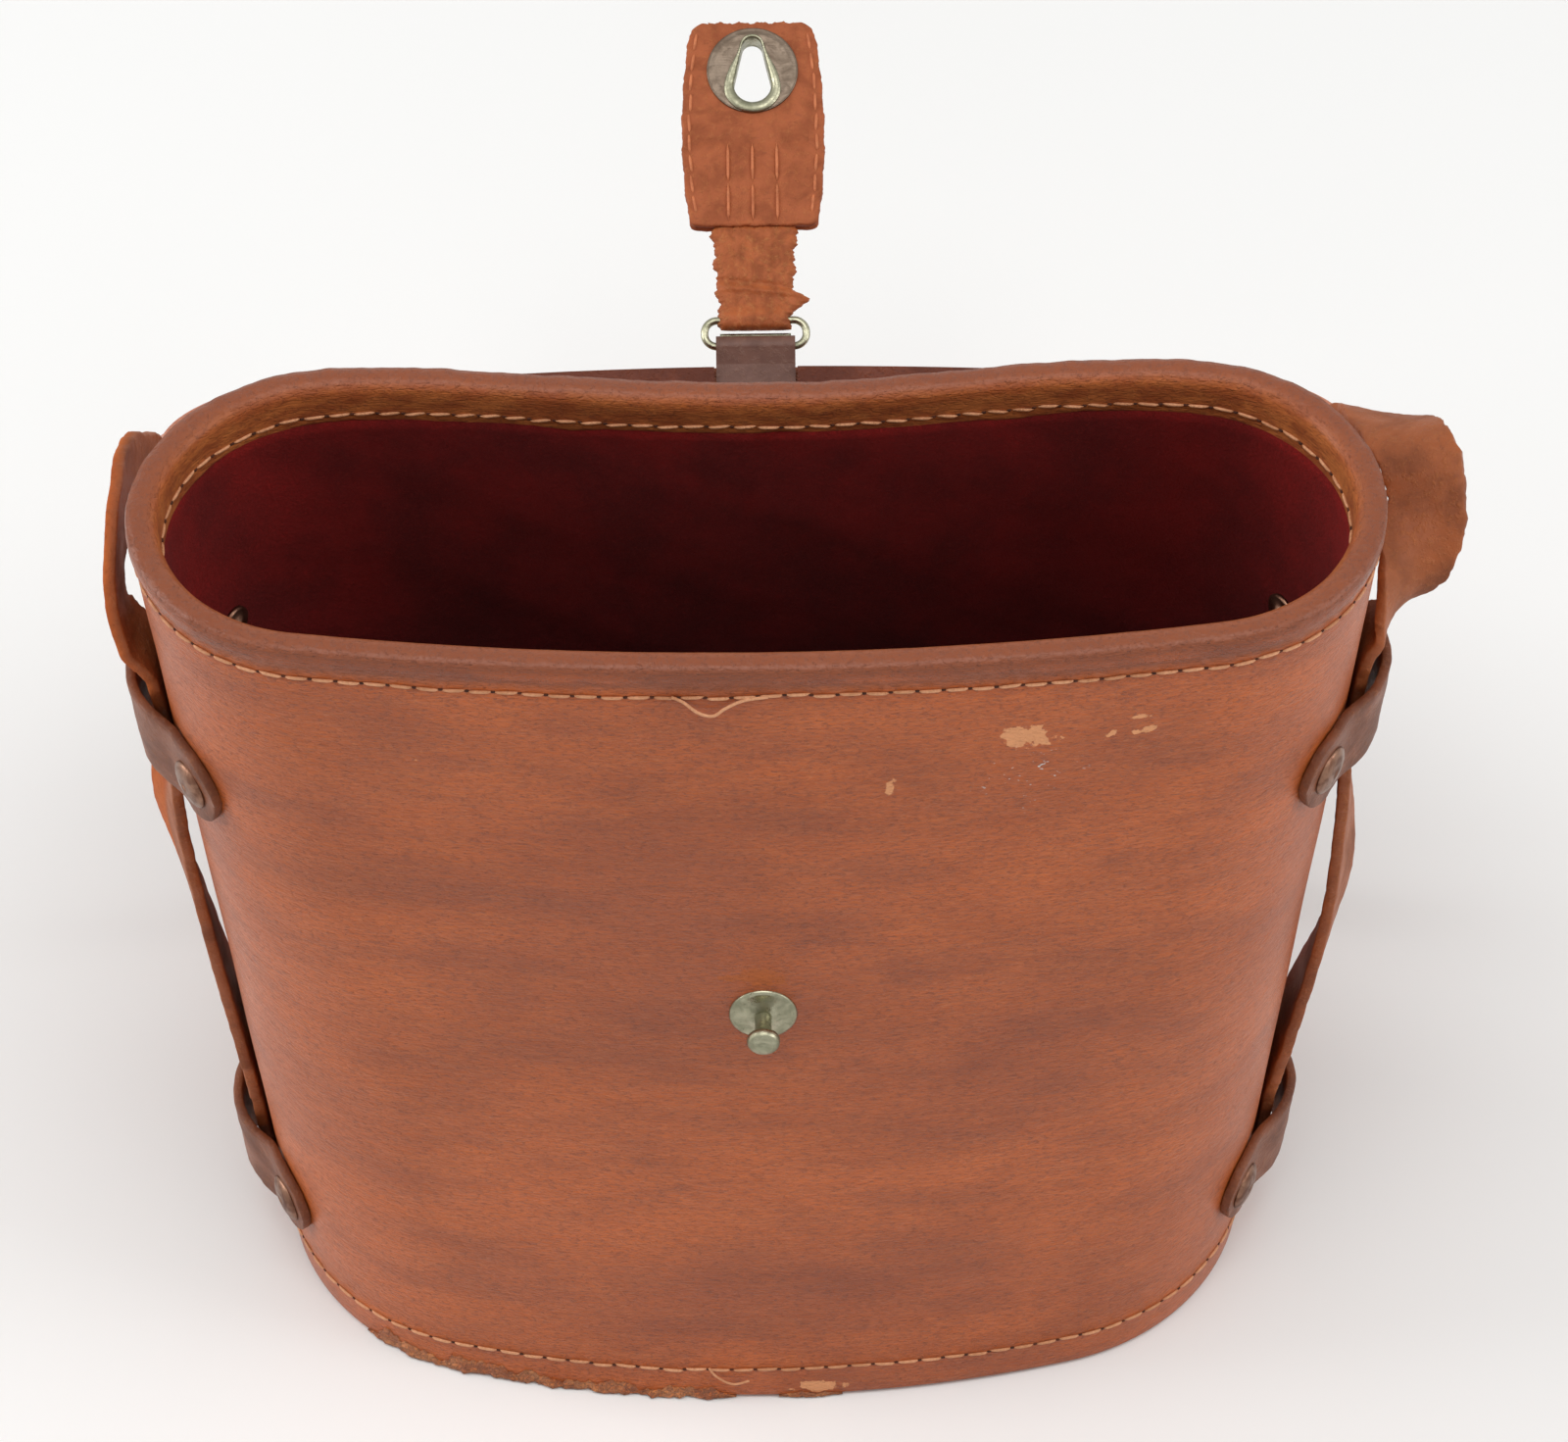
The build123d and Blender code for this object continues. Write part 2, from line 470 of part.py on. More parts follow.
def back_of_wall(x, z):
    """y of the wall's outer face at the back"""
    t = z / HEIGHT
    low, high = -1.0, 1.0
    for _ in range(40):
        share = (low + high) / 2
        x0, y0 = back_arc(BOTTOM_HALF_LENGTH, BOTTOM_HALF_DEPTH, BOTTOM_END_RADIUS, 0, share)
        x1, y1 = back_arc(TOP_HALF_LENGTH, TOP_HALF_DEPTH, TOP_END_RADIUS, BACK_HOLLOW, share)
        if x0 + (x1 - x0) * t < x:
            low = share
        else:
            high = share
    return y0 + (y1 - y0) * t


def opened(y, z):
    c, s = math.cos(math.radians(LID_OPEN)), math.sin(math.radians(LID_OPEN))
    y, z = y - HINGE_Y, z - HINGE_Z
    return HINGE_Y + y * c + z * s, HINGE_Z - y * s + z * c


edge_y, edge_z = opened(LID_BACK_EDGE, TOP_3)
on_y, on_z = opened(LID_BACK_EDGE - HINGE_ON_LID, TOP_3)
ux, uz = (on_y - edge_y) / HINGE_ON_LID, (on_z - edge_z) / HINGE_ON_LID
h = HINGE_LEATHER / 2

def hinge_line(x):
    """centre line of the strip across the case at x: up the wall, over, and down onto the lid"""
    low = back_of_wall(x, HINGE_STRIP_LOW) + h
    top = back_of_wall(x, HINGE_STRIP_TOP) + h
    middle = back_of_wall(0, HINGE_STRIP_TOP) + h
    return [(low, HINGE_STRIP_LOW), (top, HINGE_STRIP_TOP), (top + 0.9, HINGE_STRIP_TOP + 2.0),
            (top + 3.2, HINGE_STRIP_TOP + 2.7),
            (middle + 8.2, HINGE_STRIP_TOP - 0.5), (middle + 11.0, HINGE_STRIP_TOP - 6.0),
            (edge_y + uz * h, edge_z - ux * h), (on_y + uz * h, on_z - ux * h)]


def hinge_section(x):
    pts = hinge_line(x)
    left, right = [], []
    for i, (y, z) in enumerate(pts):
        y0, z0 = pts[max(i - 1, 0)]
        y1, z1 = pts[min(i + 1, len(pts) - 1)]
        n = math.hypot(y1 - y0, z1 - z0)
        ny, nz = (z1 - z0) / n, -(y1 - y0) / n
        thick_in = h + (0.35 if i < 2 else 0)
        left.append((x, y + ny * h, z + nz * h))
        right.append((x, y - ny * thick_in, z - nz * thick_in))
    return Face(Wire(Polyline(*(left + right[::-1]), close=True).edges()))


stations = [-HINGE_HALF_WIDTH + i * HINGE_HALF_WIDTH / 3 for i in range(7)]
hinge_leather = loft([hinge_section(x) for x in stations], ruled=True) - S_OUT - swing(lid_top_leather)
save(hinge_leather, "hinge_leather")

# ---------------------------------------------------------------- carry strap
# (x, y, z, width direction) down each side: lower keeper, upper keeper, loop, back, floor
def beside(z, out=0.0):
    return size_at(z)[0] + 0.15 + STRAP_THICK / 2 + out


FLOOR_Z = 0.12 + STRAP_THICK / 2
strap_right = [
    (beside(16.0), 0, 16.0, 0, 1, 0), (beside(33.5), 0, 33.5, 0, 1, 0), (beside(50, 1.6), -0.5, 50, 0.05, 1, 0),
    (beside(86, 5.0), -2, 86, 0.35, 0.94, 0), (beside(116, 2.2), -1, 116, 0.12, 1, 0),
    (beside(133), 0, 133, 0, 1, 0), (beside(152), 0, 152, 0, 1, 0),
    (108.8, 0.6, 158.2, 0.35, 0.93, -0.15), (113.5, 2.8, 163.8, 0.62, 0.5, -0.6),
    (119.0, 8.5, 169.6, 0.91, -0.33, -0.22), (120.4, 15.5, 174.6, 0.9, -0.25, 0.3),
    (118, 24, 177.3, 0.87, 0.1, 0.48), (113.8, 34, 174, 0.88, 0.2, -0.1), (108.5, 42.5, 165, 0.87, 0, -0.4),
    (104, 47.5, 150, 0.86, -0.35, -0.25), (100, 49.8, 130, 0.87, -0.45, -0.1), (97.5, 52.5, 100, 0.92, -0.35, 0),
    (96, 56.5, 60, 1, 0, 0), (94, 61.5, 28, 0.93, 0.3, 0), (89, 69, 8.5, 0.86, 0.5, 0),
    (80, 80, FLOOR_Z + 0.5, 0.76, 0.65, 0), (63, 93, FLOOR_Z, 0.5, 0.86, 0), (34, 103, FLOOR_Z, 0.25, 0.97, 0)]
strap_left = [
    (beside(16.0), 0, 16.0, 0, 1, 0), (beside(33.5), 0, 33.5, 0, 1, 0), (beside(50, 0.8), 0, 50, 0.05, 1, 0),
    (beside(86, 2.4), -1, 86, 0.2, 0.97, 0), (beside(115, 3.6), -1.5, 115, 0.4, 0.9, 0),
    (beside(133), 0, 133, 0, 1, 0), (beside(152), 0, 152, 0, 1, 0),
    (109.8, 0.4, 160, 0, 0.99, -0.1), (113.9, 2.4, 167.4, 0, 0.9, -0.42), (115.1, 8.2, 173.5, 0, 0.57, -0.82),
    (115.2, 18, 176, 0, 0, -1), (114.2, 28, 173, 0, -0.57, -0.82), (111.0, 36, 165.5, 0.1, -0.9, -0.42),
    (107.5, 42, 153, 0.3, -0.95, 0), (103, 46.5, 132, 0.6, -0.8, 0), (99, 51, 100, 0.9, -0.4, 0),
    (96.5, 56.5, 60, 1, 0, 0), (94, 61.5, 28, 0.93, 0.3, 0), (89, 69, 8.5, 0.86, 0.5, 0),
    (80, 80, FLOOR_Z + 0.5, 0.76, 0.65, 0), (63, 93, FLOOR_Z, 0.5, 0.86, 0), (34, 103, FLOOR_Z, 0.25, 0.97, 0)]
chain = strap_right + [(0, 106.5, FLOOR_Z, 0, 1, 0)] \
    + [(-x, y, z, -wx, wy, wz) for x, y, z, wx, wy, wz in strap_left[::-1]]


def between(p0, p1, p2, p3, t):
    return [0.5 * (2 * b + (c - a) * t + (2 * a - 5 * b + 4 * c - d) * t * t + (3 * b - a - 3 * c + d) * t ** 3)
            for a, b, c, d in zip(p0, p1, p2, p3)]


knots = [chain[0]] + chain + [chain[-1]]
path = []
for i in range(len(chain) - 1):
    straight = i in (0, 5, len(chain) - 2, len(chain) - 7)
    steps = (0,) if straight else (0, 0.5)
    for t in steps:
        path.append(between(*knots[i:i + 4], t))
path.append(list(chain[-1]))
sections = []
for i, p in enumerate(path):
    q0, q1 = path[max(i - 1, 0)], path[min(i + 1, len(path) - 1)]
    tangent = Vector(*[b - a for a, b in zip(q0[:3], q1[:3])]).normalized()
    across = Vector(*p[3:])
    across = (across - tangent * across.dot(tangent)).normalized()
    normal = tangent.cross(across).normalized()
    c = Vector(*p[:3])
    pts = [c + across * (STRAP_WIDTH / 2 * su) + normal * (STRAP_THICK / 2 * sv)
           for su, sv in ((-1, -1), (1, -1), (1, 1), (-1, 1))]
    sections.append(Wire(Polyline(*pts, close=True).edges()))
carry_strap = Solid.make_loft(sections, ruled=True)
save(carry_strap, "carry_strap")
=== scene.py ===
"""Leather case for field binoculars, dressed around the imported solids: leather, felt, thread and metal."""
import math

import bpy
import numpy as np
from bpy.props import FloatProperty, FloatVectorProperty, IntProperty, PointerProperty
from mathutils import Matrix, Vector


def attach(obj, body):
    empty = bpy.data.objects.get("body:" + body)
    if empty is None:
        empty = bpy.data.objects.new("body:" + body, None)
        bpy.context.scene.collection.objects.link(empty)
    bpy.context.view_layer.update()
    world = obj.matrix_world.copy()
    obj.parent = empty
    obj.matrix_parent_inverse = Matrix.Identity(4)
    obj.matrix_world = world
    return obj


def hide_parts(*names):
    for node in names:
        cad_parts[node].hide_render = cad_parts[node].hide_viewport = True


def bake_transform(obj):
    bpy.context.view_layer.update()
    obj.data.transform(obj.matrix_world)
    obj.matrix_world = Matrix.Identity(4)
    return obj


bl_info = {
    "name": "Binocular Case",
    "version": (1, 0, 0),
    "blender": (4, 5, 0),
    "location": "View3D > Sidebar > Case",
    "description": "Builds the leather, stitching, straps and metalwork of a hinged binocular case",
    "category": "Add Mesh",
}

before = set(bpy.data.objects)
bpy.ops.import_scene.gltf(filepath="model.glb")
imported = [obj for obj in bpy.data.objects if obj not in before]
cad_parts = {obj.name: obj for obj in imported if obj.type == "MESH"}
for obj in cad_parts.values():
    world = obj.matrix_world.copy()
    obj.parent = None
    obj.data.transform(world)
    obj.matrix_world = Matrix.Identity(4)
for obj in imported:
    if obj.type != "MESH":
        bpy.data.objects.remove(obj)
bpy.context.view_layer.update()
MM = 0.001

# ---------------------------------------------------------------- sizes shared with the solids, mm
HEIGHT = 190.0
TOP = np.array([106.7, 38.5, 33.1])        # half length, half depth, end radius at the rim
BOTTOM = np.array([91.5, 50.6, 44.9])      # and at the floor
HOLLOW = 9.7
WALL = 5.0                                 # leather, board and felt together
LID_INSIDE = np.array([107.3, 41.2, 35.6])
HINGE_Y, HINGE_Z, LID_OPEN = 53.9, 176.9, math.radians(231)
SKIRT_LOW = HEIGHT - 18                    # edge of the lid's skirt, in the middle of its front
LID_TOP = 194.7                            # of the shut lid
LID_OUT = 4.0                              # from the lid's inside to its outer face
SLOPE = math.atan((BOTTOM[1] - TOP[1]) / HEIGHT)
STUD_Z = 106.1
BAR_NEAR, BAR_FAR = 4.2, 9.4               # of the ring, along the latch from the skirt's edge
RING_TILT, TAB_TILT = math.radians(4.5), math.radians(5.5)
FRAME_WIDTH = 36.0                         # of the camera, which stands a metre away
FOCAL = 3.609375 * FRAME_WIDTH             # a long lens, about 130 mm
AIM, CAMERA_AWAY = np.array([4.3, 0, 133.9]), 1000.0
CAMERA_TILT, CAMERA_YAW, CAMERA_ROLL = (math.radians(v) for v in (48.09, -0.28, -0.49))
GIRTH = 520.0                              # round the wall, which sets how long its dents and nicks are
# the skirt's edge rises by the bow towards the lid's ends, and from the start to the middle of its depth
SKIRT_HALF, SKIRT_BOW = 111.3, 6.95
SKIRT_RISE_START, SKIRT_RISE = -40.0, 17.2
HINGE_HALF, HINGE_FOOT, HINGE_SEAM = 54.0, 157.0, 171.0    # half width, and where it is sewn to the wall
RING_HALF, RING_CORNER, WIRE = 9.9, 2.45, 0.75
TAB_START, TAB_END = 28.6, 71.8            # along the latch, as are the next three
TAB_SEAM, TAB_ROWS = 46.3, (-5.0, -0.2, 4.6)   # crease across the tab, and where its three rows stand
PLATE_MIDDLE, PLATE_RADIUS = 61.2, 9.0
KEYHOLE_MIDDLE = 60.6
LATCH_Y = -(BOTTOM[1] + (TOP[1] - BOTTOM[1]) * SKIRT_LOW / HEIGHT + (1.1 + 4.7 / 2) / math.cos(SLOPE))


def linear(colour):
    """sRGB hex, such as #A55A3C, to the linear values that a shader takes."""
    c = np.array([int(colour[i:i + 2], 16) for i in (1, 3, 5)]) / 255
    return tuple(float(v) for v in np.where(c <= 0.04045, c / 12.92, ((c + 0.055) / 1.055) ** 2.4))


# ================================================================ settings
class CaseSizes(bpy.types.PropertyGroup):
    """Sizes of the sewing and the wear, which the solids leave to this script."""
    stitch_pitch: FloatProperty(name="Stitch pitch", description="From one needle hole to the next",
                                default=4.4 * MM, unit="LENGTH")
    stitch_length: FloatProperty(name="Stitch length", description="Thread that shows between two holes",
                                 default=4.15 * MM, unit="LENGTH")
    thread: FloatProperty(name="Thread", description="Thickness of the linen thread",
                          default=0.62 * MM, unit="LENGTH")
    rim_seam: FloatProperty(name="Rim seam", description="Height of the seam under the rim",
                            default=183.2 * MM, unit="LENGTH")
    sole_seam: FloatProperty(name="Sole seam", description="Height of the seam above the floor",
                             default=8.0 * MM, unit="LENGTH")
    rim_roll: FloatProperty(name="Rim roll", description="How far the rolled rim stands out over its seam",
                            default=0.45 * MM, unit="LENGTH")
    fray: FloatProperty(name="Fray", description="Depth of the ragged edges of the straps",
                        default=0.45 * MM, unit="LENGTH")
    around: IntProperty(name="Steps around", description="Columns of the wall's grid", default=620, min=120)


class CaseColours(bpy.types.PropertyGroup):
    """Colours of the finishes."""
    leather: FloatVectorProperty(name="Leather", description="Russet grain of the body", subtype="COLOR",
                                 default=linear("#C25F22"))
    leather_dark: FloatVectorProperty(name="Handled leather", description="Darkened, greasy patches",
                                      subtype="COLOR", default=linear("#A44C18"))
    scuff: FloatVectorProperty(name="Scuff", description="Bare fibre where the grain is torn off",
                               subtype="COLOR", default=linear("#E09A6A"))
    strap: FloatVectorProperty(name="Strap", description="Dry, cracked strap leather", subtype="COLOR",
                               default=linear("#9A5228"))
    felt: FloatVectorProperty(name="Felt", description="Lining", subtype="COLOR", default=linear("#7E1210"))
    thread: FloatVectorProperty(name="Thread", description="Waxed linen", subtype="COLOR",
                                default=linear("#DDA077"))
    brass: FloatVectorProperty(name="Plating", description="Dulled nickel over brass", subtype="COLOR",
                               default=linear("#A3A089"))
    floor: FloatVectorProperty(name="Floor", description="Pale studio floor", subtype="COLOR",
                               default=linear("#F2F2F1"))


# ================================================================ shapes
def ripple(s, length, seed, octaves=4):
    """Ragged line: a sum of sines whose wavelengths halve from length, each with its own seeded phase."""
    random = np.random.RandomState(seed)
    total = np.zeros_like(np.asarray(s, float))
    for k in range(octaves):
        total = total + np.sin(2 * np.pi * s / (length / 1.9 ** k) * random.uniform(0.8, 1.2)
                               + random.uniform(0, 6.28)) / 1.5 ** k
    return total / 2


def catmull(points, count):
    """Smooth line through points: at t, each span's cubic is weighed from its four nearest points."""
    p = np.asarray(points, float)
    p = np.vstack([2 * p[0] - p[1], p, 2 * p[-1] - p[-2]])
    t = np.linspace(0, len(p) - 3 - 1e-9, count)
    i = t.astype(int)
    f = (t - i)[:, None]
    a, b, c, d = p[i], p[i + 1], p[i + 2], p[i + 3]
    square, cube = (2 * a - 5 * b + 4 * c - d) * f ** 2, (3 * b - a - 3 * c + d) * f ** 3
    return 0.5 * (2 * b + (c - a) * f + square + cube)


def unit(v):
    return v / np.maximum(np.linalg.norm(v, axis=-1, keepdims=True), 1e-12)


def oval(s, size, out=0.0):
    """Four arcs that meet smoothly. s runs from 0 to 1 by length, from the middle of the back towards +X, and
    each arc's point is its centre plus its radius along the outward direction. size holds half length, half
    depth and end radius, and may vary from point to point. Also gives the outward direction's angle, and how
    far from the middle the long arcs meet the end arcs."""
    a, b, r = (size[..., k] + out for k in range(3))
    side = ((a - r) ** 2 + b * b - r * r) / (2 * (b - r))
    alpha = np.arctan2(a - r, side - b)
    beta = np.pi - 2 * alpha
    turns = np.stack(np.broadcast_arrays(alpha, beta, 2 * alpha, beta, alpha), -1)
    lengths = turns * np.stack(np.broadcast_arrays(side, r, side, r, side), -1)
    ends = np.cumsum(lengths, -1)
    at = s * ends[..., -1]
    psi = np.sum(np.clip((at[..., None] - (ends - lengths)) / lengths, 0, 1) * turns, -1)
    arc = np.sum(at[..., None] > ends[..., :-1], -1)
    radius = np.where(arc % 2 == 1, r, side)
    cx = np.select([arc == 1, arc == 3], [a - r, r - a], 0.0)
    cy = np.select([(arc == 0) | (arc == 4), arc == 2], [b - side, side - b], 0.0)
    x, y = cx + radius * np.sin(psi), cy + radius * np.cos(psi)
    joint_x = side * (a - r) / (side - r)
    return x, y, psi, joint_x


def wall_point(s, z, out=0.0):
    """Point of the body: the oval at height z, whose size runs straight from floor to rim, its back drawn in
    by (1 - q^2)^2 of the hollow, where q is the share of the back's half length. Also gives the normal."""
    s, z, out = np.broadcast_arrays(*(np.asarray(v, float) for v in (s, z, out)))
    share = z / HEIGHT
    size = BOTTOM + (TOP - BOTTOM) * share[..., None]
    x, y, psi, joint = oval(s, size, out)
    q = np.clip(np.abs(x) / joint, 0, 1)
    y = y - np.where(y > 0, HOLLOW * share * (1 - q * q) ** 2, 0)
    lean = -((TOP[0] - BOTTOM[0]) * np.abs(np.sin(psi)) + (TOP[1] - BOTTOM[1]) * np.abs(np.cos(psi))) / HEIGHT
    return np.stack([x, y, z], -1), unit(np.stack([np.sin(psi), np.cos(psi), lean], -1))


def share_at(x, z, front=True):
    """Share around the wall at which it stands over x, found on a fine table of its front or back half."""
    s = np.linspace(0.25, 0.75, 4001) if front else np.linspace(-0.25, 0.25, 4001) % 1.0
    p = wall_point(s, z)[0][:, 0]
    return float(s[np.argmin(np.abs(p - x))])


def swing(p):
    """Turns points of the shut lid about the hinge line to where it hangs open."""
    c, s = math.cos(LID_OPEN), math.sin(LID_OPEN)
    y, z = p[..., 1] - HINGE_Y, p[..., 2] - HINGE_Z
    return np.stack([p[..., 0], HINGE_Y + y * c + z * s, HINGE_Z - y * s + z * c], -1)


def latch_point(x, t, n, part="tab"):
    """Point of the latch, t along it from the skirt's edge and n out from the wall: the tab leans about the
    far bar, both lean about the near bar, and the whole swings with the lid."""
    x, t, n = np.broadcast_arrays(*(np.asarray(v, float) for v in (x, t, n)))
    if part == "tab":
        c, s = math.cos(TAB_TILT), math.sin(TAB_TILT)
        t, n = BAR_FAR + (t - BAR_FAR) * c - n * s, (t - BAR_FAR) * s + n * c
    if part in ("tab", "ring"):
        c, s = math.cos(RING_TILT), math.sin(RING_TILT)
        t, n = BAR_NEAR + (t - BAR_NEAR) * c - n * s, (t - BAR_NEAR) * s + n * c
    c, s = math.cos(SLOPE), math.sin(SLOPE)
    return swing(np.stack([x, LATCH_Y - s * t - c * n, SKIRT_LOW - c * t + s * n], -1))


# ================================================================ meshes
def make_piece(name, points, faces, material, body=None, slot=None, attributes=None):
    """Mesh from points in mm and lists of quads and triangles, turned the right way by its signed volume.
    attributes holds a value per point under each name that the material reads."""
    points = np.asarray(points, float)
    corners = [np.asarray(f, int) for f in faces if len(f)]
    volume = 0.0
    for f in corners:
        for k in range(1, f.shape[1] - 1):
            volume += np.sum(np.cross(points[f[:, 0]], points[f[:, k]]) * points[f[:, k + 1]])
    if volume < 0:
        corners = [f[:, ::-1] for f in corners]
    mesh = bpy.data.meshes.new(name)
    mesh.from_pydata((points * MM).tolist(), [], [q for f in corners for q in f.tolist()])
    mesh.update()
    mesh.polygons.foreach_set("use_smooth", np.ones(len(mesh.polygons), bool))
    for key, values in (attributes or {}).items():
        layer = mesh.attributes.new(key, "FLOAT", "POINT")
        layer.data.foreach_set("value", np.asarray(values, np.float32).ravel())
    mesh.materials.append(material)
    piece = bpy.data.objects.new(name, mesh)
    bpy.context.scene.collection.objects.link(piece)
    if body:
        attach(piece, body)
    return piece


def grid(rows, columns, wrap_rows=False, wrap_columns=False, start=0):
    """Quads of a grid of points, row after row, joined round where asked."""
    i = np.arange(rows if wrap_rows else rows - 1)[:, None]
    j = np.arange(columns if wrap_columns else columns - 1)[None, :]
    i2, j2 = (i + 1) % rows, (j + 1) % columns
    return (np.stack([i * columns + j, i * columns + j2, i2 * columns + j2, i2 * columns + j], -1)
            .reshape(-1, 4) + start)


def tube(points):
    """Points and faces of rings carried along a path, each end closed by a fan about its middle."""
    rows, columns = points.shape[:2]
    flat = np.vstack([points.reshape(-1, 3), points[0].mean(0)[None], points[-1].mean(0)[None]])
    j = np.arange(columns)
    first = np.stack([j, np.full(columns, rows * columns), (j + 1) % columns], -1)
    last = np.stack([(rows - 1) * columns + j, (rows - 1) * columns + (j + 1) % columns,
                     np.full(columns, rows * columns + 1)], -1)
    return flat, [grid(rows, columns, wrap_columns=True), np.vstack([first, last])]


def slab(upper, lower):
    """Points and faces of a sheet with thickness: two grids, joined along their four borders."""
    rows, columns = upper.shape[:2]
    count = rows * columns
    index = np.arange(count).reshape(rows, columns)
    edge = np.concatenate([index[0], index[1:, -1], index[-1, -2::-1], index[-2:0:-1, 0]])
    after = np.roll(edge, -1)
    return (np.vstack([upper.reshape(-1, 3), lower.reshape(-1, 3)]),
            [grid(rows, columns), grid(rows, columns, start=count)[:, ::-1],
             np.stack([edge, edge + count, after + count, after], -1)])


def ribbon(centre, across, half, thick, edge=0.5, steps=8, lift=None):
    """Strap: a rounded rectangle carried along a line. Its flat faces run across by half, which may differ at
    the two sides. Its corners are quarter circles of radius edge. lift moves both faces along the normal."""
    tangent = unit(np.gradient(centre, axis=0))
    across = unit(across - tangent * np.sum(across * tangent, -1, keepdims=True))
    normal = np.cross(tangent, across)
    flat = np.linspace(-1, 1, steps + 1)
    turn = np.linspace(0, np.pi / 2, 4)[1:-1]
    one = np.ones
    fu = np.concatenate([flat, one(2), one(2), flat[::-1], -one(2), -one(2)])
    fv = np.concatenate([one(steps + 1), one(2), -one(2), -one(steps + 1), -one(2), one(2)])
    du = np.concatenate([np.zeros(steps + 1), np.sin(turn), np.cos(turn), np.zeros(steps + 1),
                         -np.sin(turn), -np.cos(turn)])
    dv = np.concatenate([one(steps + 1), np.cos(turn), -np.sin(turn), -one(steps + 1),
                         -np.cos(turn), np.sin(turn)])
    halves = half if isinstance(half, tuple) else (half, half)
    left, right = (np.broadcast_to(h, (len(centre),))[:, None] for h in halves)
    thick = np.broadcast_to(thick, (len(centre),))[:, None]
    radius = np.minimum(edge, thick / 2 * 0.98)
    u = np.where(fu < 0, fu * (left - radius), fu * (right - radius)) + du * radius
    v = fv * (thick / 2 - radius) + dv * radius
    if lift is not None:
        v = v + lift(u)
    return centre[:, None] + across[:, None] * u[..., None] + normal[:, None] * v[..., None]


def lathe(profile, origin, axis, count=48):
    """Turned shape: pairs of radius and height carried round an axis. The first and last pair lie on it."""
    axis = unit(np.asarray(axis, float))
    side = unit(np.cross(axis, [0.0, 0.0, 1.0] if abs(axis[2]) < 0.9 else [1.0, 0.0, 0.0]))
    other = np.cross(axis, side)
    phi = np.linspace(0, 2 * np.pi, count, endpoint=False)[None, :, None]
    profile = np.asarray(profile, float)
    ring = profile[:, 0, None, None] * (np.cos(phi) * side + np.sin(phi) * other)
    return tube(np.asarray(origin) + profile[:, 1, None, None] * axis + ring)


def stitch_points(at, along, up, length, thread):
    """Sewing: one short thread of 7 rings of 6 points, fat in its middle and dipping at both ends, repeated
    at every place given."""
    x = np.linspace(-1, 1, 7)
    fat = np.sqrt(np.clip(1 - x ** 4, 0.02, 1))
    phi = np.linspace(0, 2 * np.pi, 6, endpoint=False)
    side = fat[:, None] * np.cos(phi)[None] * thread / 2
    high = fat[:, None] * np.sin(phi)[None] * thread / 2 + (0.16 - 0.34 * x[:, None] ** 4) * thread
    shape = np.stack([np.broadcast_to(x[:, None] * length / 2, side.shape), side, high], -1).reshape(-1, 3)
    across = np.cross(up, along)
    frames = np.stack([along, across, up], 1)
    points = at[:, None] + np.einsum("kc,ncd->nkd", shape, frames)
    ends = np.array([[0, 1, 2, 3], [0, 3, 4, 5]])
    ends = np.vstack([ends[:, ::-1], ends + 36])
    faces = np.concatenate([grid(7, 6, wrap_columns=True), ends])
    offset = (np.arange(len(at)) * len(shape))[:, None, None]
    return points.reshape(-1, 3), [(faces[None] + offset).reshape(-1, 4)]


def sew(name, line, normal, closed, material, body, wander=0.12, seed=1, holes=True):
    """Row of stitches at even spacing along a line of points, with a small dark pit between each two, the
    painted shade of a needle hole.
    """
    sizes = bpy.context.scene.case_sizes
    line = np.vstack([line, line[:1]]) if closed else line
    normal = np.vstack([normal, normal[:1]]) if closed else normal
    run = np.concatenate([[0], np.cumsum(np.linalg.norm(np.diff(line, axis=0), axis=1))])
    count = max(int(round(run[-1] / (sizes.stitch_pitch / MM))), 2)
    at = (np.arange(count) + 0.5) / count * run[-1]
    pick = lambda values: np.stack([np.interp(at, run, values[:, k]) for k in range(3)], -1)
    spots, up = pick(line), unit(pick(normal))
    along = unit(pick(np.gradient(line, axis=0)))
    along = unit(along - up * np.sum(along * up, -1, keepdims=True))
    random = np.random.RandomState(seed)
    across = np.cross(up, along)
    along = unit(along + across * random.normal(0, 0.035, (count, 1)))
    spots = spots + across * random.normal(0, wander, (count, 1))
    points, faces = stitch_points(spots, along, up, sizes.stitch_length / MM, sizes.thread / MM)
    if holes:
        gap = np.diff(spots, axis=0)
        near = np.linalg.norm(gap, axis=1) < 1.5 * sizes.stitch_pitch / MM
        # dark pits just under the surface between the stitches: painted shade of the needle holes
        middle = (spots[:-1] + gap / 2 - up[:-1] * 0.12)[near]
        pits, pit_faces = stitch_points(middle, along[:-1][near], up[:-1][near], 0.95, 0.5)
        make_piece(name.replace("stitches", "needle_holes"), pits, pit_faces, painted_hole_shade(), body)
    return make_piece(name, points, faces, material, body)


# ================================================================ materials
def add(tree, kind, inputs=None, out=0, **settings):
    """Adds one node, sets its properties, and sets or links its inputs by name or number. Gives an output."""
    node = tree.nodes.new("ShaderNode" + kind)
    for key, value in settings.items():
        setattr(node, key, value)
    for key, value in (inputs or {}).items():
        if isinstance(value, bpy.types.NodeSocket):
            tree.links.new(value, node.inputs[key])
        else:
            node.inputs[key].default_value = value
    return node.outputs[out] if len(node.outputs) else None


def surface(name, build, **even):
    """The material of that name, made once: build links to the shader's inputs, and even sets the others."""
    material = bpy.data.materials.get(name)
    if material is None:
        material = bpy.data.materials.new(name)
        material.use_nodes = True
        tree = material.node_tree
        tree.nodes.clear()
        shader = add(tree, "BsdfPrincipled", {key.replace("_", " "): value for key, value in even.items()})
        for key, value in build(tree).items():
            tree.links.new(value, shader.node.inputs[key])
        add(tree, "OutputMaterial", {"Surface": shader})
    return material


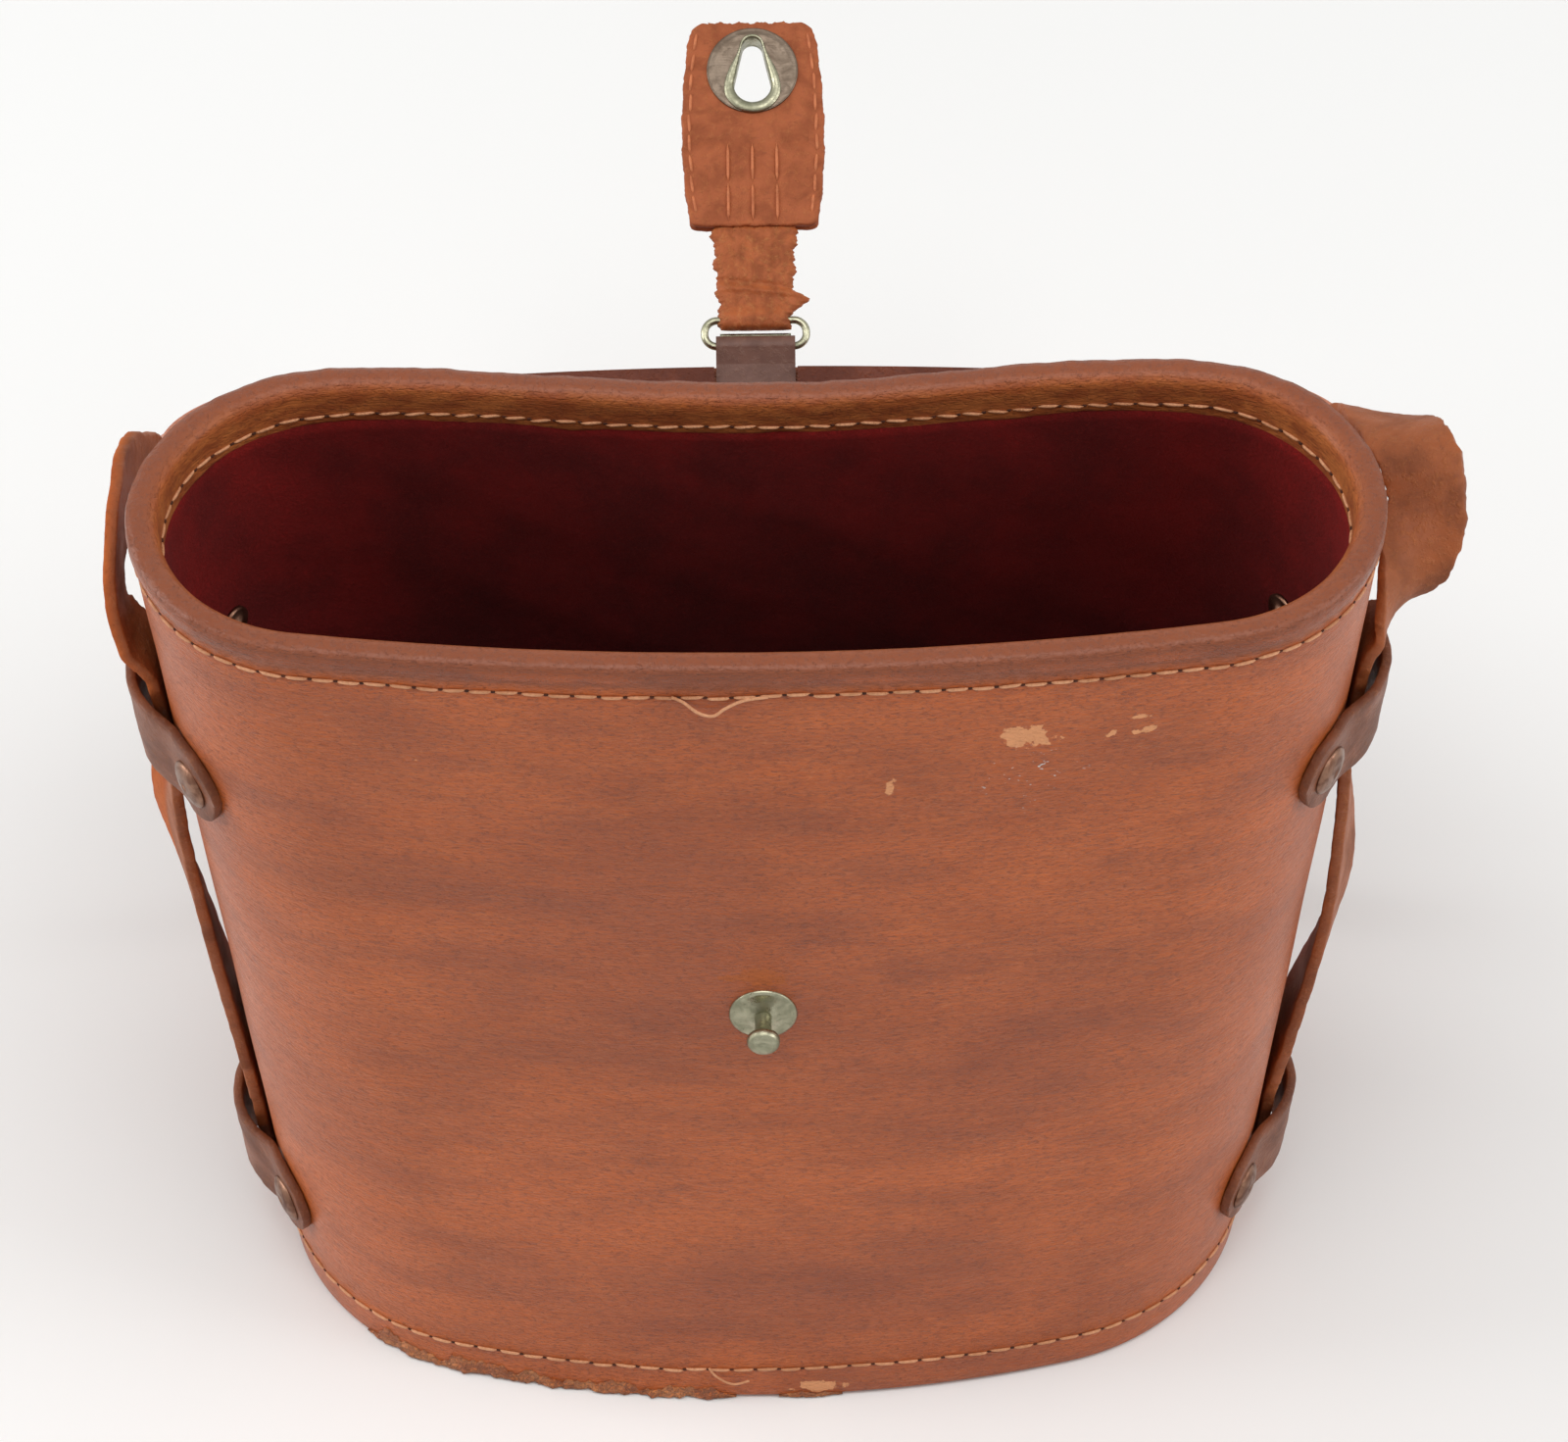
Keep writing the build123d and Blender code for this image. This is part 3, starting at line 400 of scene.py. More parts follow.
def rgba(colour):
    return (*(linear(colour) if isinstance(colour, str) else tuple(colour)), 1.0)


def place(tree, size, centre=(0, 0, 0)):
    """Object coordinates measured in steps of size, three lengths in mm, from a centre."""
    size = (size,) * 3 if isinstance(size, (int, float)) else size
    at = add(tree, "TexCoord", out="Object")
    return add(tree, "Mapping", {"Vector": at, "Scale": [1000 / v for v in size],
                                 "Location": [-c / v for c, v in zip(centre, size)]})


def clouds(tree, size, low, high, to=(0.0, 1.0), detail=4.0, roughness=0.6, twist=0.0):
    """Blotches about size mm across: noise eased from low..high to the two ends of to."""
    cloud = add(tree, "TexNoise", {"Vector": place(tree, size), "Scale": 1.0, "Detail": detail,
                                   "Roughness": roughness, "Distortion": twist}, out="Fac")
    return add(tree, "MapRange", {"Value": cloud, "From Min": low, "From Max": high, "To Min": to[0],
                                  "To Max": to[1]}, interpolation_type="SMOOTHSTEP")


def plates(tree, size, gap, rounded=False):
    """Cells about size mm across: 0 in the cracks between them, or in their middles if rounded, then 1."""
    cell = add(tree, "TexVoronoi", {"Vector": place(tree, size), "Scale": 1.0}, out="Distance",
               feature="F1" if rounded else "DISTANCE_TO_EDGE")
    return add(tree, "MapRange", {"Value": cell, "From Min": 0.0, "From Max": gap},
               interpolation_type="SMOOTHSTEP")


def patch(tree, centre, size, ragged=0.5, grain=3.0, soft=0.12):
    """Ragged patch about a centre: 1 inside an ellipsoid of that size in mm, whose edge noise moves."""
    far = add(tree, "VectorMath", {0: place(tree, size, centre)}, out="Value", operation="LENGTH")
    edge = add(tree, "Math", {0: far, 1: clouds(tree, grain, 0.2, 0.8, (-ragged, ragged))}, operation="ADD")
    return add(tree, "MapRange", {"Value": edge, "From Min": 1 + soft, "From Max": 1 - soft},
               interpolation_type="SMOOTHSTEP")


def most(tree, masks):
    """The highest of several masks."""
    total = masks[0]
    for mask in masks[1:]:
        total = add(tree, "Math", {0: total, 1: mask}, operation="MAXIMUM")
    return total


def shades(tree, base, *layers):
    """Base colour with layers over it: each a mask, the share of it that counts, and a colour or a socket."""
    colour = base if isinstance(base, bpy.types.NodeSocket) else rgba(base)
    for mask, share, tint in layers:
        tint = tint if isinstance(tint, bpy.types.NodeSocket) else rgba(tint)
        factor = mask if share == 1 else add(tree, "Math", {0: mask, 1: share}, operation="MULTIPLY")
        colour = add(tree, "Mix", {0: factor, 6: colour, 7: tint}, out=2, data_type="RGBA")
    return colour


def levels(tree, base, *layers):
    """As shades, for one number such as roughness."""
    value = base
    for mask, share, level in layers:
        factor = mask if share == 1 else add(tree, "Math", {0: mask, 1: share}, operation="MULTIPLY")
        value = add(tree, "Mix", {0: factor, 2: value, 3: level}, data_type="FLOAT")
    return value


def relief(tree, *layers):
    """Bumps laid over each other: pairs of a height from 0 to 1 and its depth in mm."""
    normal = None
    for height, depth in layers:
        inputs = {"Height": height, "Distance": depth * MM, "Strength": 1.0}
        if normal is not None:
            inputs["Normal"] = normal
        normal = add(tree, "Bump", inputs)
    return normal


def case_leather():
    """Bridle cowhide, vegetable tanned, glazed russet: mottled brown with fine pores in level rows, a waxy
    sheen, darker where hands and damp have been, painted darker over the rolled rim as shade, burnished along
    the rim's outer roll, pale where the grain is scraped off, and brown flesh side where it is turned in."""
    colours = bpy.context.scene.case_colours

    def build(tree):
        mottle = clouds(tree, (80, 80, 46), 0.36, 0.68, twist=0.6)
        broad = clouds(tree, (36, 36, 10), 0.4, 0.72, detail=3)
        streak = clouds(tree, (11, 11, 0.8), 0.38, 0.7)
        fine = clouds(tree, (2.4, 2.4, 0.35), 0.4, 0.7)
        pore = plates(tree, (1.15, 1.15, 0.6), 0.35, rounded=True)
        crease = plates(tree, (2.4, 2.4, 0.9), 0.2)
        ticks = clouds(tree, (1.0, 1.0, 0.55), 0.52, 0.68, detail=3, roughness=0.7)
        light = clouds(tree, (1.3, 1.3, 0.5), 0.56, 0.72, detail=3, roughness=0.7)
        top, ridge, inside = (add(tree, "Attribute", out="Fac", attribute_name=key, attribute_type="GEOMETRY")
                              for key in ("rim", "ridge", "inside"))
        rubbed = clouds(tree, (13, 13, 5), 0.36, 0.6)
        flesh = shades(tree, "#96491C", (clouds(tree, (6, 6, 3), 0.34, 0.66), 0.8, "#BC6C32"),
                       (clouds(tree, (1.1, 1.1, 1.1), 0.5, 0.75), 0.5, "#6A3014"))
        scuffs = most(tree, [patch(tree, centre, size, ragged, 2.4) for centre, size, ragged in (
            ((44.5, -42, 171.0), (4.6, 9, 2.3), 0.8), ((43.5, -42, 172.8), (1.6, 9, 1.3), 0.7),
            ((59, -41, 170.2), (1.0, 9, 0.8), 1.0), ((63, -40, 170.0), (0.7, 9, 0.6), 1.0),
            ((65.5, -40, 170.4), (1.2, 9, 0.6), 1.0), ((64, -40, 173.4), (1.3, 9, 0.5), 0.9),
            ((22, -43, 161), (0.9, 9, 2.0), 0.5), ((-58, -44, 166), (0.9, 9, 0.7), 0.5),
            ((10, -50, 2.4), (4.2, 9, 1.6), 0.7))])
        bare = patch(tree, (-1.5, -44, 115.4), (5.0, 6, 1.6), 0.9, 3)
        glints = add(tree, "Math", {0: patch(tree, (46, -42, 162), (8, 9, 6), 0.5, 6, 0.5),
                                    1: clouds(tree, (1.1, 1.1, 0.7), 0.68, 0.76, detail=1)},
                     operation="MULTIPLY")
        stains = most(tree, [patch(tree, centre, size, ragged, 14, 0.9) for centre, size, ragged in (
            ((-72, -47, 150), (6, 12, 8), 0.4), ((-14, -46, 128), (34, 12, 26), 0.3),
            ((45, -48, 90), (28, 14, 16), 0.4), ((4, -49, 30), (44, 14, 13), 0.5))])
        specks = clouds(tree, (1.5, 1.5, 1.0), 0.72, 0.78, detail=2)
        # the rim mark (top) paints the rolled rim darker: painted shade
        colour = shades(tree, colours.leather, (mottle, 0.75, colours.leather_dark), (broad, 0.42, "#7C371B"),
                        (streak, 0.16, "#C8753F"), (fine, 0.34, "#7E3A1C"), (light, 0.34, "#CB7B48"),
                        (ticks, 0.42, "#7A371C"), (specks, 0.5, "#5E2A16"),
                        (stains, 0.4, "#763420"), (top, 0.8, "#723A20"), (ridge, 0.85, "#8A3C10"),
                        (add(tree, "Math", {0: ridge, 1: rubbed}, operation="MULTIPLY"), 0.7, "#B4561C"),
                        (bare, 0.6, "#B5622F"), (scuffs, 1, colours.scuff), (glints, 0.9, "#D2CFCB"),
                        (inside, 1, flesh))
        gloss = levels(tree, clouds(tree, (80, 80, 46), 0.3, 0.75, (0.33, 0.42)), (top, 0.8, 0.40),
                       (ridge, 0.9, 0.2), (most(tree, [scuffs, bare]), 1, 0.85), (glints, 1, 0.15),
                       (inside, 1, 0.88))
        return {"Base Color": colour, "Roughness": gloss,
                "Normal": relief(tree, (clouds(tree, (24, 24, 10), 0.2, 0.8, detail=3), 0.5), (streak, 0.05),
                                 (fine, 0.08), (ticks, 0.09), (crease, 0.06), (pore, 0.05))}
    return surface("Bridle_leather_glazed", build, IOR=1.4, Coat_Weight=0.2, Coat_Roughness=0.3)


def worn_leather(name, base, dark, light, size=9, rough=(0.5, 0.68), cracks=0.5, depth=0.12):
    """Old strap or tab leather: dull, pitted and split across, darker in the splits, lighter where it is
    rubbed, and rough and orange on the flesh side."""
    def build(tree):
        cloud = clouds(tree, size, 0.34, 0.7, detail=5, twist=0.4)
        fine = clouds(tree, 1.2, 0.45, 0.8, roughness=0.7)
        pits = plates(tree, (1.1, 1.1, 0.8), 0.25, rounded=True)
        split = clouds(tree, (1.6, 1.6, 0.5), 0.56, 0.68, roughness=0.7)
        flesh = add(tree, "Attribute", out="Fac", attribute_name="flesh", attribute_type="GEOMETRY")
        colour = shades(tree, base, (cloud, 0.7, dark), (fine, 0.35, light), (split, cracks, dark),
                        (flesh, 1, shades(tree, "#A24E20", (cloud, 0.6, "#C26A30"), (fine, 0.4, "#7A3818"))))
        gloss = levels(tree, rough[0], (cloud, 1, rough[1]), (flesh, 1, 0.9))
        return {"Base Color": colour, "Roughness": gloss,
                "Normal": relief(tree, (pits, depth * cracks), (fine, depth))}
    return surface(name, build, IOR=1.4)


def suede():
    """Torn flesh side: no gloss, short fibres, orange to peach."""
    def build(tree):
        fibre = clouds(tree, 0.7, 0.4, 0.75, roughness=0.7, twist=1.0)
        return {"Base Color": shades(tree, "#AE5A26", (clouds(tree, 4, 0.35, 0.7), 0.8, "#D98C52"),
                                     (fibre, 0.5, "#7E3F1E")),
                "Normal": relief(tree, (fibre, 0.35))}
    return surface("Suede_torn_fibre", build, Roughness=0.95, IOR=1.4, Sheen_Weight=0.2, Sheen_Roughness=0.6)


def felt():
    """Wool baize glued to the board: deep red, matt, a short nap that catches light at a glance, stained in
    patches, and painted darker towards the floor as shade deep in the case."""
    colours = bpy.context.scene.case_colours

    def build(tree):
        nap = clouds(tree, 0.6, 0.4, 0.8, roughness=0.75, twist=0.6)
        stain = clouds(tree, (26, 26, 30), 0.38, 0.66)
        # painted shade: the lining grows darker towards the floor of the case, as if shaded deep inside it
        low = patch(tree, (0, 0, 0), (160, 120, 125), 0.2, 30, 0.5)
        return {"Base Color": shades(tree, colours.felt, (stain, 0.75, "#4E0A0B"), (nap, 0.4, "#A8281F"),
                                     (low, 0.8, "#240506")),
                "Normal": relief(tree, (clouds(tree, (14, 14, 20), 0.2, 0.8), 0.6), (nap, 0.25))}
    return surface("Wool_baize_red", build, Roughness=0.97, IOR=1.35, Sheen_Weight=0.12, Sheen_Roughness=0.5,
                   Sheen_Tint=rgba("#C0403A"))


def board():
    """Millboard, calendered grey-brown: flat, dull, with a faint fibre."""
    def build(tree):
        fibre = clouds(tree, (3.0, 3.0, 0.5), 0.3, 0.7, roughness=0.7)
        return {"Base Color": shades(tree, "#7A6450", (fibre, 1, "#94806A")),
                "Normal": relief(tree, (fibre, 0.08))}
    return surface("Millboard_calendered", build, Roughness=0.9, IOR=1.45)


def plating(name, base, tarnish, rough=(0.24, 0.5), stain=0.6):
    """Nickel plate over brass, pressed and polished, now dull: a greenish grey film, clearer where rubbed."""
    def build(tree):
        cloud = clouds(tree, 3.0, 0.38, 0.66, detail=5, twist=0.5)
        speck = clouds(tree, 0.8, 0.62, 0.74)
        colour = shades(tree, base, (cloud, stain, tarnish), (speck, 0.5, "#4B4836"))
        return {"Base Color": colour, "Roughness": levels(tree, rough[0], (cloud, 1, rough[1])),
                "Normal": relief(tree, (cloud, 0.03), (clouds(tree, (4, 0.25, 4), 0.2, 0.8), 0.015))}
    return surface(name, build, Metallic=1.0)


def linen():
    """Waxed linen thread: pale tan, slightly glossy, grimed in places."""
    colours = bpy.context.scene.case_colours

    def build(tree):
        ply = clouds(tree, 0.5, 0.35, 0.7)
        return {"Base Color": shades(tree, colours.thread, (ply, 0.45, "#BC7F50"),
                                     (clouds(tree, 14, 0.42, 0.66), 0.5, "#A5663C")),
                "Normal": relief(tree, (ply, 0.1))}
    return surface("Linen_thread_waxed", build, Roughness=0.6, IOR=1.45)


def painted_hole_shade():
    """Painted shade of a needle hole: a small pit of nearly black, dull leather colour set between two
    stitches.
    """
    def build(tree):
        return {"Base Color": shades(tree, "#3A1C10", (clouds(tree, 0.6, 0.4, 0.7), 1, "#5A2C18"))}
    return surface("Needle_hole_painted_shade", build, Roughness=0.85, IOR=1.4)


# ================================================================ pieces
# (out, height, rim, inside) of the leather: floor, up the wall, over the rolled rim, and down to the board;
# rim also sets where the leather is painted darker as shade
WALL_PROFILE = np.array([
    (-2.0, 0.0, 0, 0), (-1.2, 0.0, 0, 0), (-0.35, 0.12, 0, 0), (0, 0.6, 0, 0),
    (0, 182.2, 0, 0), (-0.22, 183.2, 0, 0), (-0.12, 184.2, 0.1, 0), (-0.05, 185.2, 0.5, 0),
    (0.3, 185.9, 0.8, 0), (1.0, 186.9, 1, 0), (1.0, 187.9, 1, 0), (0.7, 188.9, 1, 0), (0.0, 189.6, 1, 0),
    (-1.0, 189.95, 1, 0), (-2.4, 190.0, 1, 0), (-3.6, 189.8, 0.9, 0.1), (-4.5, 189.1, 0.6, 0.4),
    (-4.95, 188.0, 0.2, 0.8), (-5.0, 186.0, 0, 1), (-4.85, 182.7, 0, 1), (-5.0, 181.2, 0, 1),
    (-4.85, 180.6, 0, 1), (-4.3, 180.45, 0, 1), (-3.8, 180.6, 0, 1), (-3.8, 188.0, 0, 1),
    (-2.0, 188.0, 0, 1), (-2.0, 4.0, 0, 0)])
LID_SEAM = 4.0
STRAP_WIDTH, STRAP_THICK = 14.5, 2.4
KEEPERS = {"upper": (134.0, 151.0), "lower": (15.5, 32.5)}
KEEPER_THICK, KEEPER_ROOM, KEEPER_BULGE, KEEPER_END = 1.9, 5.0, 16.0, 25.0
KEEPER_RIVET_Y = 19.6


def beside(z, out=0.0):
    """How far from the middle the strap's centre lies where it follows the end of the case."""
    return BOTTOM[0] + (TOP[0] - BOTTOM[0]) * z / HEIGHT + 0.15 + STRAP_THICK / 2 + out


LOW = 0.12 + STRAP_THICK / 2
# middle of the strap and the direction of its width, down each side: keepers, loop, back of the case, floor
STRAP_RIGHT = [
    (beside(16), 0, 16, 0, 1, 0), (beside(33.5), 0, 33.5, 0, 1, 0), (beside(50, 1.6), -0.5, 50, 0.05, 1, 0),
    (beside(86, 5), -2, 86, 0.35, 0.94, 0), (beside(116, 2.2), -1, 116, 0.12, 1, 0),
    (beside(133), 0, 133, 0, 1, 0), (beside(152), 0, 152, 0, 1, 0),
    (108.8, 0.6, 158.2, 0.35, 0.93, -0.15), (111.6, 2.8, 163.8, 0.62, 0.5, -0.6),
    (114.8, 8.5, 169.0, 0.91, -0.33, -0.22), (116.2, 16, 173.6, 0.9, -0.25, 0.3),
    (114.6, 24.5, 175.6, 0.87, 0.1, 0.3), (111.6, 34, 172, 0.88, 0.2, -0.1),
    (108.5, 42.5, 165, 0.87, 0, -0.4), (104, 47.5, 150, 0.86, -0.35, -0.25),
    (100, 49.8, 130, 0.87, -0.45, -0.1), (97.5, 52.5, 100, 0.92, -0.35, 0), (96, 56.5, 60, 1, 0, 0),
    (94, 61.5, 28, 0.93, 0.3, 0), (89, 69, 8.5, 0.86, 0.5, 0), (80, 80, LOW + 0.5, 0.76, 0.65, 0),
    (63, 93, LOW, 0.5, 0.86, 0), (34, 103, LOW, 0.25, 0.97, 0)]
STRAP_LEFT = [
    (beside(16), 0, 16, 0, 1, 0), (beside(33.5), 0, 33.5, 0, 1, 0), (beside(50, 0.8), 0, 50, 0.05, 1, 0),
    (beside(86, 2.4), -1, 86, 0.2, 0.97, 0), (beside(115, 3.6), -1.5, 115, 0.4, 0.9, 0),
    (beside(133), 0, 133, 0, 1, 0), (beside(152), 0, 152, 0, 1, 0),
    (108.9, 0.4, 159, 0, 0.99, -0.1), (110.8, 2.4, 164.4, 0, 0.9, -0.42), (111.3, 8.2, 168.6, 0, 0.57, -0.82),
    (111.0, 18, 170.2, 0, 0, -1), (110.6, 28, 168, 0, -0.57, -0.82), (109.2, 36, 162, 0.1, -0.9, -0.42),
    (107.5, 42, 153, 0.3, -0.95, 0), (103, 46.5, 132, 0.6, -0.8, 0), (99, 51, 100, 0.9, -0.4, 0),
    (96.5, 56.5, 60, 1, 0, 0), (94, 61.5, 28, 0.93, 0.3, 0), (89, 69, 8.5, 0.86, 0.5, 0),
    (80, 80, LOW + 0.5, 0.76, 0.65, 0), (63, 93, LOW, 0.5, 0.86, 0), (34, 103, LOW, 0.25, 0.97, 0)]


def dress(names, material):
    """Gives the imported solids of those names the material."""
    for name in names:
        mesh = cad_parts[name].data
        mesh.materials.clear()
        mesh.materials.append(material)


class CASE_OT_stage(bpy.types.Operator):
    """Pale floor, soft light from above and both sides, and the camera"""
    bl_idname = "case.stage"
    bl_label = "Stage and camera"

    def execute(self, context):
        scene = context.scene
        level = math.cos(CAMERA_TILT)
        back = np.array([math.sin(CAMERA_YAW) * level, -math.cos(CAMERA_YAW) * level, math.sin(CAMERA_TILT)])
        across = unit(np.cross(-back, [0, 0, 1]))
        above = np.cross(across, -back)
        right = across * math.cos(CAMERA_ROLL) + above * math.sin(CAMERA_ROLL)
        up = above * math.cos(CAMERA_ROLL) - across * math.sin(CAMERA_ROLL)
        data = bpy.data.cameras.new("Camera")
        camera = bpy.data.objects.new("Camera", data)
        scene.collection.objects.link(camera)
        data.sensor_fit, data.sensor_width = "HORIZONTAL", FRAME_WIDTH
        data.lens = FOCAL
        data.clip_start, data.clip_end = 0.05, 20
        turn, at = np.stack([right, up, back], 1), (AIM + back * CAMERA_AWAY) * MM
        camera.matrix_world = Matrix([[*map(float, row), p] for row, p in zip(turn, at)] + [[0, 0, 0, 1]])
        scene.camera = camera

        def paper(tree):
            cloud = clouds(tree, 900, 0.3, 0.7)
            return {"Base Color": shades(tree, scene.case_colours.floor, (cloud, 0.5, "#ECECEB"))}
        material = surface("Studio_paper_matt", paper, Roughness=0.9)
        mesh = bpy.data.meshes.new("floor")
        half, under = 4.0, -0.0004             # metres; just below the case, so that the two don't flicker
        corners = ((-half, -half), (half, -half), (half, half), (-half, half))
        mesh.from_pydata([(x, y, under) for x, y in corners], [], [(0, 1, 2, 3)])
        mesh.materials.append(material)
        floor = bpy.data.objects.new("floor", mesh)
        scene.collection.objects.link(floor)

        world = bpy.data.worlds.new("Soft_room")
        world.use_nodes = True
        tree = world.node_tree
        tree.nodes.clear()
        direct = add(tree, "LightPath", out="Is Camera Ray")
        rays = direct.node.outputs
        seen = most(tree, [direct, rays["Is Glossy Ray"], rays["Is Transmission Ray"]])
        strength = levels(tree, 0.5, (seen, 1, 0.9))
        glow = add(tree, "Background", {"Color": rgba("#FCFCFB"), "Strength": strength})
        add(tree, "OutputWorld", {"Surface": glow})
        scene.world = world
        for name, at, size, power in (("Overhead", (0.0, -0.35, 1.7), (1.3, 1.0), 11.0),
                                      ("Left_box", (-1.4, 0.15, 0.75), (0.7, 1.3), 12.0),
                                      ("Right_box", (1.35, -0.2, 0.85), (0.9, 1.1), 8.0)):
            lamp = bpy.data.lights.new(name, "AREA")
            lamp.shape, lamp.size, lamp.size_y, lamp.energy = "RECTANGLE", *size, power
            obj = bpy.data.objects.new(name, lamp)
            obj.location = at
            direction = np.array([0, 0, 0.11]) - np.array(at)
            obj.rotation_mode = "QUATERNION"
            obj.rotation_quaternion = Vector(direction).to_track_quat("-Z", "Y")
            scene.collection.objects.link(obj)
        scene.view_settings.view_transform = "Standard"
        return {"FINISHED"}


class CASE_OT_body(bpy.types.Operator):
    """Leather of the body, with its rolled rim and turned-in mouth, and the finishes of boards and lining"""
    bl_idname = "case.body"
    bl_label = "Body, boards and lining"

    def execute(self, context):
        sizes = context.scene.case_sizes
        leather = case_leather()
        profile = WALL_PROFILE.copy()
        proud = profile[:, 2] > 0.7
        profile[proud & (profile[:, 0] > 0), 0] *= sizes.rim_roll / MM
        wall_rows = np.linspace(0.6, 182.2, 86)[1:-1]
        rising = np.zeros((len(wall_rows), 4))
        rising[:, 1] = wall_rows
        profile = np.vstack([profile[:4], rising, profile[4:]])
        s = np.linspace(0, 1, sizes.around, endpoint=False)[None]
        out, z = profile[:, :1], profile[:, 1:2]
        length = s * GIRTH
        # dents: slow swells of a third of a millimetre that fade at both ends; the rim is nicked and uneven
        swell = (ripple(length + z * 0.7, 150, 3, 2) * ripple(z + length * 0.15, 95, 5, 2)) * 0.35
        swell = swell * np.clip((z - 4) / 20, 0, 1) * np.clip((180 - z) / 14, 0, 1) * (out > -1)
        nick = profile[:, 2:3] * (0.22 * ripple(length, 46, 9, 4) + 0.10 * ripple(length, 9, 12, 3))
        drop = profile[:, 3:4] * (z < 182) * ripple(length, 60, 21, 5) * 0.5
        points = wall_point(s, z, out + swell + nick * 0.5)[0]
        points[..., 2] += np.where(profile[:, 2:3] > 0.5, nick * 0.8 - 0.18, 0) + drop
        rows, columns = points.shape[:2]
        rubbed = np.clip(0.72 + 0.4 * ripple(length, 70, 29, 4), 0, 1)
        burnish = np.exp(-((z - 187.2) / 1.1) ** 2) * (out > 0) * rubbed
        # rim also marks where the leather paints the rolled rim darker, as shade
        marks = {"rim": np.broadcast_to(profile[:, 2:3], (rows, columns)),
                 "ridge": np.broadcast_to(burnish, (rows, columns)),
                 "inside": np.broadcast_to(profile[:, 3:4], (rows, columns))}
        wall = make_piece("wall_cover", points.reshape(-1, 3),
                          [grid(rows, columns, wrap_rows=True, wrap_columns=True)],
                          leather, "case", "case_leather", marks)
        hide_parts("wall_leather")
        stiff, wool = board(), felt()
        for name, node, slot, material, inner, outer, low, top, uneven in (
                ("wall_stiffener", "wall_board", "stiff_board", stiff, -3.75, -2.05, 12.0, 187.95, 0.0),
                ("wall_felt", "wall_lining", "red_felt", wool, -4.95, -3.8, 4.0, 180.9, 0.22)):
            heights = np.linspace(low, top, 70)
            out = np.concatenate([np.full(70, outer), np.full(70, inner)])[:, None]
            z = np.concatenate([heights, heights[::-1]])[:, None]
            out = out + (out == inner) * uneven * ripple(length * 0.5 + z, 40, 15, 4)
            points = wall_point(s, z, out)[0]
            piece = make_piece(name, points.reshape(-1, 3),
                               [grid(*points.shape[:2], wrap_rows=True, wrap_columns=True)],
                               material, "case", slot)
            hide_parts(node)
        dress(["bottom_board", "lid_top_board", "lid_skirt_board"], stiff)
        dress(["bottom_lining", "lid_top_lining"], wool)
        dress(["lid_skirt_lining"], worn_leather("Turned_leather_brown", "#6B3018", "#451D10", "#8A4A2A", 12))
        dress(["bottom_leather", "lid_top_leather", "lid_skirt_leather"], leather)
        return {"FINISHED"}


class CASE_OT_seams(bpy.types.Operator):
    """Rows of linen stitches round the rim, inside the mouth, above the sole and round the lid"""
    bl_idname = "case.seams"
    bl_label = "Seams"

    def execute(self, context):
        sizes = context.scene.case_sizes
        thread = linen()
        s = np.linspace(0, 1, 1600, endpoint=False)
        wave = ripple(s * GIRTH, 130, 7, 2) * 0.35
        for name, z, out, flip, seed in (("stitches_rim", sizes.rim_seam / MM, -0.1, 1, 1),
                                         ("stitches_mouth", sizes.rim_seam / MM - 0.5, -WALL + 0.1, -1, 2),
                                         ("stitches_sole", sizes.sole_seam / MM, 0.08, 1, 3)):
            line, up = wall_point(s, z + wave, out)
            sew(name, line, up * flip, True, thread, "case", seed=seed)
        # lid: along the skirt's edge, which bows in front and rises towards the ends, and round the top's rim
        part = np.linspace(0.17, 0.83, 1500)
        size = np.broadcast_to(LID_INSIDE, (len(part), 3))
        x, y, psi, _ = oval(part, size, LID_OUT + 0.08)
        bowed = SKIRT_LOW + SKIRT_BOW * (x / SKIRT_HALF) ** 2 - 0.05
        edge = np.maximum(bowed, SKIRT_LOW + SKIRT_RISE * (y - SKIRT_RISE_START) / -SKIRT_RISE_START)
        outward = np.stack([np.sin(psi), np.cos(psi), 0 * psi], -1)
        skirt = np.stack([x, y, edge + LID_SEAM], -1), outward, y < -18
        x, y, psi, _ = oval(part, size, -LID_SEAM + LID_OUT + 0.6)
        flat = np.broadcast_to([0.0, 0.0, 1.0], (len(part), 3))
        top = np.stack([x, y, np.full_like(x, LID_TOP + 0.08)], -1), flat, (np.abs(x) > 60) | (y < 0)
        origin = swing(np.zeros((1, 3)))
        for name, (line, up, keep), seed in (("stitches_skirt", skirt, 11), ("stitches_lid_top", top, 12)):
            sew(name, swing(line[keep]), swing(up[keep]) - origin, False, thread, "lid", seed=seed)
        return {"FINISHED"}


